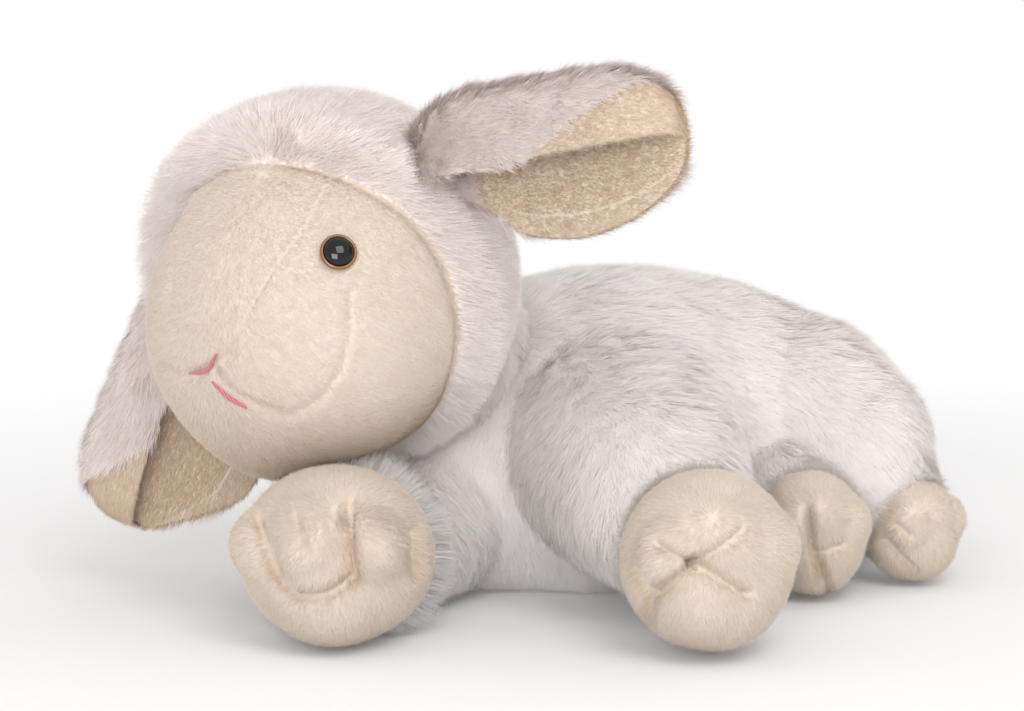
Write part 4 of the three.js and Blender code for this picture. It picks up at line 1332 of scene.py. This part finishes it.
@dataclass
class Leg:
    """A leg: a sleeve of grey pile from the body to the wrist, and a cream paw with sewn toes."""

    name: str
    path: tuple
    half: tuple
    paw: tuple
    paw_half: tuple
    wrist_back: float
    half_height: tuple | None = None
    haunch: tuple | None = None  # middle, half sizes and turn
    creases: tuple = ()
    bulges: tuple = ()
    facing: float = 55.0  # degrees from -y towards +x that the toes look at
    ring: float = 0.0  # how much fuller the long pile beside the paw is, against elsewhere
    seed: int = 41

    def forward(self) -> Array:
        """The way that the leg points at its paw, level."""
        run = np.array(self.path[-1], float) - np.array(self.path[-2], float)
        run[2] = 0
        return unit(run)

    def facing_axes(self) -> Array:
        """Across and up as the toes are looked at, one a row."""
        turn = math.radians(self.facing)
        return np.array([[math.cos(turn), math.sin(turn), 0], [0, 0, 1]])

    def front(self) -> Array:
        """The way that the toes look."""
        turn = math.radians(self.facing)
        return np.array([math.sin(turn), -math.cos(turn), 0])

    def seen(self, points: Array) -> Array:
        """Places on the paw as (across, up) from its middle."""
        return (points - np.array(self.paw, float)) @ self.facing_axes().T

    def sleeve_skin(self) -> Skin:
        """The tube from the body to the paw."""
        half = np.array(self.half, float)
        high = np.array(self.half_height, float) if self.half_height else half
        return Sack(np.array(self.path, float), half, high, 2.4, (96, 72), 1.5).skin()

    def haunch_skin(self) -> Skin:
        """The thigh's round swell."""
        at, half, turn = self.haunch
        spin = np.array(Matrix.Rotation(math.radians(turn), 3, "Z"))
        return Skin.from_sphere((96, 72), lambda u: settle((u * (np.array(half, float) - 1.5)) @ spin.T
                                                           + np.array(at, float)))

    def paw_skin(self) -> Skin:
        """A ball with three toes and a full lower lip, its folds pulled in."""
        forward = self.forward()
        side = np.cross(UP, forward)

        def toe(across: float, ahead: float, up: float, radius: float) -> tuple:
            return (tuple(side * across + forward * ahead + UP * up), radius)

        balls = [((0, 0, 0), 0.93), toe(0.4, 0.5, 0.2, 0.42), toe(-0.05, 0.56, 0.3, 0.42),
                 toe(-0.5, 0.42, 0.15, 0.42), toe(0, 0.3, -0.2, 0.66)]
        middle, half = np.array(self.paw, float), np.array(self.paw_half, float) - 1.2 + 2.6 * self.ring

        def place(units: Array) -> Array:
            return units * reach(balls, units, 22)[:, None] * half + middle

        made = Skin.from_sphere((112, 84), place)
        seen = self.seen(made.points)
        facing = smooth(0.0, 0.35, made.normals @ self.front())
        moved = np.zeros(len(made.points))
        for bulge in self.bulges:
            moved += bulge.amount(seen) * facing
        for crease in self.creases:
            moved -= crease.depth * crease.amount(seen) * facing
        made = made.moved(moved)
        made.points = settle(made.points)
        made.refresh()
        return made

    def paw_tone(self, points: Array, normals: Array) -> Array:
        """Painted shade, deeper and yellower, in the folds and towards the floor."""
        seen = self.seen(points)
        facing = smooth(-0.2, 0.2, normals @ self.front())
        tone = np.full(len(points), 0.60)
        for crease in self.creases:
            tone -= crease.shade * crease.amount(seen) * facing
        return tone - 0.16 * (1 - smooth(1, 16, points[:, 2]))

    def wrist(self) -> tuple[Array, float]:
        """The leg's direction at the wrist, and how far along it the paw's cloth begins."""
        along = unit(np.array(self.paw, float) - np.array(self.path[-2], float))
        return along, float(np.array(self.paw, float) @ along) - self.wrist_back

    def build_stuffing(self, shop: Workshop) -> None:
        """Fibre that fills the sleeve and the paw, clear of the folds."""
        half = np.array(self.half, float)
        high = np.array(self.half_height, float) if self.half_height else half
        path = np.array(self.path, float)
        tube = Sack(path, half, high, 2.4, (36, 24), 8.0).skin()
        size = np.array(self.paw_half, float) - 12
        ball = Skin.from_sphere((36, 24), lambda u: u * size + np.array(self.paw))
        both = Skin(np.vstack([tube.points, ball.points]), np.vstack([tube.normals, ball.normals]),
                    np.vstack([tube.triangles, ball.triangles + len(tube.points)]))
        nodes = [f"{self.name}_stuffing"]
        shop.cloth(f"{self.name}_fill", both, self.name, ["fibre_stuffing"], nodes, None)

    def wrist_growth(self, hidden: Sequence[BVHTree]) -> Growth:
        """How the long pile lies: as the body's, and then by the leg's direction near the paw."""
        along, wrist = self.wrist()

        def near(first: float, last: float, points: Array) -> Array:
            return smooth(wrist - first, wrist - last, points @ along)

        def comb(points: Array, normals: Array) -> Array:
            share = near(34, 6, points)[:, None]
            return unit(BODY_BRUSH.comb(points, normals) * (1 - share) + along * (1 - 2 * self.ring) * share)

        def tone(points: Array, normals: Array) -> Array:
            # The pile darkens near the floor, a painted shade.
            low = 1 - smooth(2, 20, points[:, 2])
            return 0.72 + (0.04 + 0.22 * self.ring) * near(26, 4, points) - 0.12 * low

        def lean(points: Array, normals: Array) -> Array:
            return 1 - (0.1 + 0.28 * self.ring) * near(24, 6, points)

        def length(points: Array, normals: Array) -> Array:
            return 1 + 0.9 * self.ring * near(26, 8, points)

        return Growth(comb, tone, length, lean, hidden, 2.5)

    def build(self, shop: Workshop, skins: dict[str, Skin], hidden: Sequence[BVHTree]) -> None:
        """Makes the leg's cloths, piles and stuffing."""
        name = self.name
        sleeve, paw = skins[f"{name}_sleeve"], skins[f"{name}_paw"]
        paw_tree, sleeve_tree = paw.tree(), sleeve.tree()
        along, wrist = self.wrist()
        front = paw.points @ along > wrist
        choice = Region.of(front[paw.triangles].all(axis=1))
        shop.cloth(f"{name}_sleeve_cloth", sleeve, name, ["grey_backing"], [f"{name}_sleeve"])
        shop.cloth(f"{name}_paw_cloth", paw, name, TWO_CLOTHS, [f"{name}_paw_cover"], choice)
        cut = sleeve.keep(sleeve.points @ along < wrist + 2)
        growth = self.wrist_growth([*hidden, paw_tree])
        shop.pile(f"{name}_sleeve_pile", cut, GREY, growth, "grey_pile", name, self.seed)
        growth = self.wrist_growth([*hidden, sleeve_tree])
        shop.pile(f"{name}_wrist_pile", paw.keep(~front), GREY, growth, "grey_pile", name, self.seed + 3)
        if self.haunch:
            thigh = skins[f"{name}_haunch"]
            shop.cloth(f"{name}_thigh_cloth", thigh, name, ["grey_backing"], [])
            tone = lambda p, n: growth.tone(p, n) - 0.2  # noqa: E731
            thigh_growth = Growth(BODY_BRUSH.comb, tone, blocked=[*hidden, sleeve_tree])
            shop.pile(f"{name}_thigh_pile", thigh, GREY, thigh_growth, "grey_pile", name, self.seed + 1)
        middle = np.array(self.paw, float)
        ahead = self.front() * -18
        radiate = lambda p, n: unit((p - middle) * 0.6 + ahead + np.array([0, 0, -14]))  # noqa: E731
        longer = lambda p, n: np.full(len(p), 1.25)  # noqa: E731
        growth = Growth(radiate, self.paw_tone, longer, blocked=[sleeve_tree])
        shop.pile(f"{name}_paw_pile", paw.keep(front), CREAM, growth, "cream_pile", name, self.seed + 2)
        self.build_stuffing(shop)


@dataclass
class Tail:
    """A short tail that hangs behind the rump."""

    path: tuple = ((-52, 158, 56), (-62, 171, 51), (-71, 180, 41), (-74, 184, 29))
    half: tuple = (11, 15, 15, 12)

    def build(self, shop: Workshop, hidden: Sequence[BVHTree]) -> None:
        """Makes the tail's cloth and pile."""
        half = np.array(self.half, float)
        skin = Sack(np.array(self.path, float), half, half, 2.2, (48, 40), 1.0).skin()
        shop.cloth("tail_cloth", skin, "tail", ["grey_backing"], ["tail"])
        comb = lambda p, n: unit(np.array([-0.3, 0.3, -1.0]) + 0 * p)  # noqa: E731
        shop.pile("tail_pile", skin, GREY, Growth(comb, None, blocked=hidden), "grey_pile", "tail", 71)


def legs() -> list[Leg]:
    """The four legs, with the folds of their paws as (across, up) lines."""
    return [
        Leg("foreleg_left",
            ((-44, 10, 73), (-14, 2, 69), (20, -9, 58), (56, -21, 46), (92, -32, 38)),
            (33, 41, 43, 38, 31), (103, -38, 38), (37.5, 38, 39), 21, seed=41,
            creases=(Crease(((-6.9, 6.2), (-20.3, 13)), 3.4, 2.2, 0.26),
                     Crease(((-6.9, 6.2), (10.3, 18.6)), 3.4, 2.2, 0.26),
                     Crease(((-6.9, 6.2), (13.9, -6.5)), 3.4, 2.2, 0.26),
                     Crease(((-6.9, 6.2), (-18.8, -6), (-23.3, -9), (-30, -0.2)), 3.4, 2.4, 0.26),
                     Crease(((-23.3, -10.5), (-26.3, -37)), 3, 2.6, 0.2)),
            bulges=(Bulge((-8, 22), 14, 2), Bulge((16, 8), 14, 2), Bulge((-22, 4), 9, 1.5),
                    Bulge((-6, -16), 18, 2.5))),
        Leg("foreleg_right",
            ((-74, -36, 43), (-68, -58, 36), (-52, -84, 28), (-31, -113, 27), (-8, -141, 33)),
            (23, 29, 33, 33, 30), (-1, -147, 36), (43, 39, 36), 9,
            half_height=(24, 28, 27, 26, 30), seed=45, ring=1.0,
            creases=(Crease(((-29.3, 18), (-22.3, -1.5), (-14.3, -8.8), (-2.5, -7.6), (6, -3)),
                            4.6, 2.6, 0.26),
                     Crease(((6, 24), (7.6, -1)), 4.2, 2.4, 0.26),
                     Crease(((31, 14), (33, -2)), 2.4, 2.2, 0.2),
                     Crease(((-14, 24), (-10, 12)), 1.6, 2.4, 0.1)),
            bulges=(Bulge((-10, 6), 17, 6), Bulge((19, 10), 14, 3.5), Bulge((0, -22), 24, 2.5))),
        Leg("hindleg_left",
            ((-8, 117, 60), (4, 117, 53), (16, 118, 44), (29, 121, 34), (42, 122, 26)),
            (28, 29, 25, 21, 20), (43, 122, 24), (23, 23, 25), 9,
            haunch=((-9, 111, 61), (35, 34, 40), -30), seed=51,
            creases=(Crease(((-12, -2.5), (0, -15)), 2.5, 2.0, 0.24),
                     Crease(((-8, 6), (-2.5, 2)), 2, 2.0, 0.24))),
        Leg("hindleg_right",
            ((-17, 77, 35), (-3, 76, 34), (12, 78, 33), (26, 75, 30), (38, 72, 28)),
            (18, 22, 24, 23, 20), (42, 66, 28), (26, 26, 29), 10, seed=60,
            creases=(Crease(((-2.8, 14), (-0.6, -3), (2.4, -17)), 3, 2.0, 0.24),
                     Crease(((1, -3), (12, -0.6)), 2.5, 2.0, 0.24),
                     Crease(((2.8, -7), (7.5, -26)), 2.5, 2.0, 0.22))),
    ]


@dataclass
class InnerParts:
    """What lies inside the covers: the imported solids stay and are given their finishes."""

    fibre: tuple = ("body_stuffing", "head_stuffing", "neck_stuffing")
    others: tuple = (("bead_bag", "bead_bag_cloth"), ("glass_beads", "glass_beads"),
                     ("eye_left_washer", "lock_washer"), ("eye_right_washer", "lock_washer"))

    def build(self, shop: Workshop) -> None:
        """Gives each inner solid its finish."""
        for name, finish in (*((n, "fibre_stuffing") for n in self.fibre), *self.others):
            node = shop.frame["nodes"][name]
            node.data.materials.clear()
            node.data.materials.append(shop.finishes[finish])


@dataclass(frozen=True)
class Studio:
    """A white floor, soft light from both sides, and the camera of the photographed view."""

    azimuth: float = 55.0
    elevation: float = 8.0
    aim: tuple = (20.0, -75.0, 114.0)
    distance: float = 1470.0
    lens: float = 126.56
    floor_half: float = 30.0
    sky: float = 0.78
    boxes: tuple = (  # turn from the camera, height, distance in metres, size and power
        ("key", 22, 44, 2.6, 1.3, 19.0),
        ("fill", -8, 10, 2.6, 1.3, 35.0),
    )

    def camera(self, space: Space) -> None:
        """Places the camera on a circle round the aim."""
        back = from_side(self.azimuth, self.elevation)
        data = bpy.data.cameras.new("camera")
        data.lens, data.sensor_width = self.lens, 36
        data.clip_start, data.clip_end = 0.05, 100
        made = added("camera", data)
        target = Vector(space.to_frame(np.array([self.aim]))[0])
        made.location = target + back * self.distance * MM
        made.rotation_euler = (-back).to_track_quat("-Z", "Y").to_euler()
        bpy.context.scene.camera = made

    def floor(self) -> None:
        """A white sweep that keeps the lamb's soft shadow and runs out into plain white."""
        mesh = bmesh.new()
        bmesh.ops.create_grid(mesh, x_segments=1, y_segments=1, size=self.floor_half)
        data = bpy.data.meshes.new("floor")
        mesh.to_mesh(data)
        mesh.free()
        made = Shader("studio_floor")
        rays = made.node("ShaderNodeLightPath")
        seen = made.value(rays.outputs["Is Camera Ray"]) + made.value(rays.outputs["Is Glossy Ray"])
        place = made.node("ShaderNodeSeparateXYZ", inputs={"Vector": made.object_place()})
        x, y = made.value(place.outputs["X"]), made.value(place.outputs["Y"])
        far = made.node("ShaderNodeMapRange", {"interpolation_type": "SMOOTHSTEP"},
                        {"Value": (x * x + y * y) ** 0.5, "From Min": 0.3, "From Max": 0.75})
        white = made.node("ShaderNodeEmission", inputs={"Color": (1.0, 1.0, 1.0), "Strength": 1.0})
        lift = made.node("ShaderNodeEmission", inputs={"Color": (1.0, 0.99, 0.99), "Strength": 0.08})
        matt = made.node("ShaderNodeBsdfDiffuse", inputs={"Color": (0.86, 0.86, 0.86)})
        near = made.node("ShaderNodeAddShader", inputs={0: matt.outputs[0], 1: lift.outputs[0]})
        share = made.value(far.outputs["Result"])
        shown = made.node("ShaderNodeMixShader", inputs={0: share, 1: near.outputs[0], 2: white.outputs[0]})
        final = made.node("ShaderNodeMixShader", inputs={0: seen, 1: matt.outputs[0], 2: shown.outputs[0]})
        made.end("ShaderNodeOutputMaterial", "Surface", final.outputs[0])
        data.materials.append(made.material)
        added("floor", data)

    def lights(self, space: Space) -> None:
        """A large soft key from the camera's left, a fill from its right, and an even sky."""
        world = bpy.data.worlds.new("studio")
        bpy.context.scene.world = world
        world.use_nodes = True
        made = Nodes(world.node_tree)
        rays = made.node("ShaderNodeLightPath")
        sky = made.node("ShaderNodeBackground", inputs={"Color": (1, 0.985, 0.98), "Strength": self.sky})
        white = made.node("ShaderNodeBackground", inputs={"Strength": 1.0})
        seen = made.value(rays.outputs["Is Camera Ray"]) + made.value(rays.outputs["Is Glossy Ray"])
        seen = seen + made.value(rays.outputs["Is Transmission Ray"])
        mix = made.node("ShaderNodeMixShader", inputs={0: seen, 1: sky.outputs[0], 2: white.outputs[0]})
        made.end("ShaderNodeOutputWorld", "Surface", mix.outputs[0])
        target = Vector(space.to_frame(np.array([self.aim]))[0])
        for name, turn, height, away, size, power in self.boxes:
            back = from_side(self.azimuth + turn, height)
            data = bpy.data.lights.new(name, "AREA")
            data.size, data.energy = size, power
            made = added(name, data)
            made.location = target + back * away
            made.rotation_euler = (-back).to_track_quat("-Z", "Y").to_euler()

    def build(self, space: Space) -> None:
        """Sets the whole stage."""
        bpy.context.scene.view_settings.view_transform = "Standard"
        self.camera(space)
        self.floor()
        self.lights(space)


def leg_skins() -> dict[str, Skin]:
    """The legs' forms by name."""
    skins: dict[str, Skin] = {}
    for leg in legs():
        skins[f"{leg.name}_sleeve"] = leg.sleeve_skin()
        skins[f"{leg.name}_paw"] = leg.paw_skin()
        if leg.haunch:
            skins[f"{leg.name}_haunch"] = leg.haunch_skin()
    return skins


def soften(skins: dict[str, Skin]) -> None:
    """Lets the body, the sleeves and the haunch swell towards each other where they meet."""
    raw = {name: skin.tree() for name, skin in skins.items() if "paw" not in name}
    for name in raw:
        leg_name = name.rsplit("_", 1)[0]
        others = [tree for other, tree in raw.items() if other != name
                  and (name == "body" or other == "body" or leg_name in other)]
        skins[name] = filleted(skins[name], others, FILLET)


def main() -> None:
    """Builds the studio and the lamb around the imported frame."""
    logging.basicConfig(level=logging.INFO, format="%(message)s")
    for made in list(bpy.data.objects):
        bpy.data.objects.remove(made)
    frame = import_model()
    torso, neck, head = Torso(), Neck(), Head()
    space = Space.from_frame(frame, "neck_turn", neck.body_end)
    shop = Workshop(frame, space)
    Studio().build(space)
    head_skin, neck_skin = head.skin(), neck.skin()
    skins = {"body": torso.skin(), **leg_skins()}
    soften(skins)
    body_skin = skins.pop("body")
    body_tree, head_tree, neck_tree = body_skin.tree(), head_skin.tree(), neck_skin.tree()
    trees = {name: skin.tree() for name, skin in skins.items()}
    torso.build(shop, [tree for name, tree in trees.items() if "paw" not in name], body_skin)
    neck.build(shop, neck_skin, [body_tree, head_tree])
    head.build(shop, head_skin, [neck_tree])
    for seed, ear in zip((61, 65), ears()):
        ear.build(shop, head, [head_tree], seed)
    for leg in legs():
        others = [tree for name, tree in trees.items() if leg.name in name and "haunch" in name]
        leg.build(shop, skins, [body_tree, *others])
    Tail().build(shop, [body_tree])
    InnerParts().build(shop)


if __name__ == "__main__":
    main()
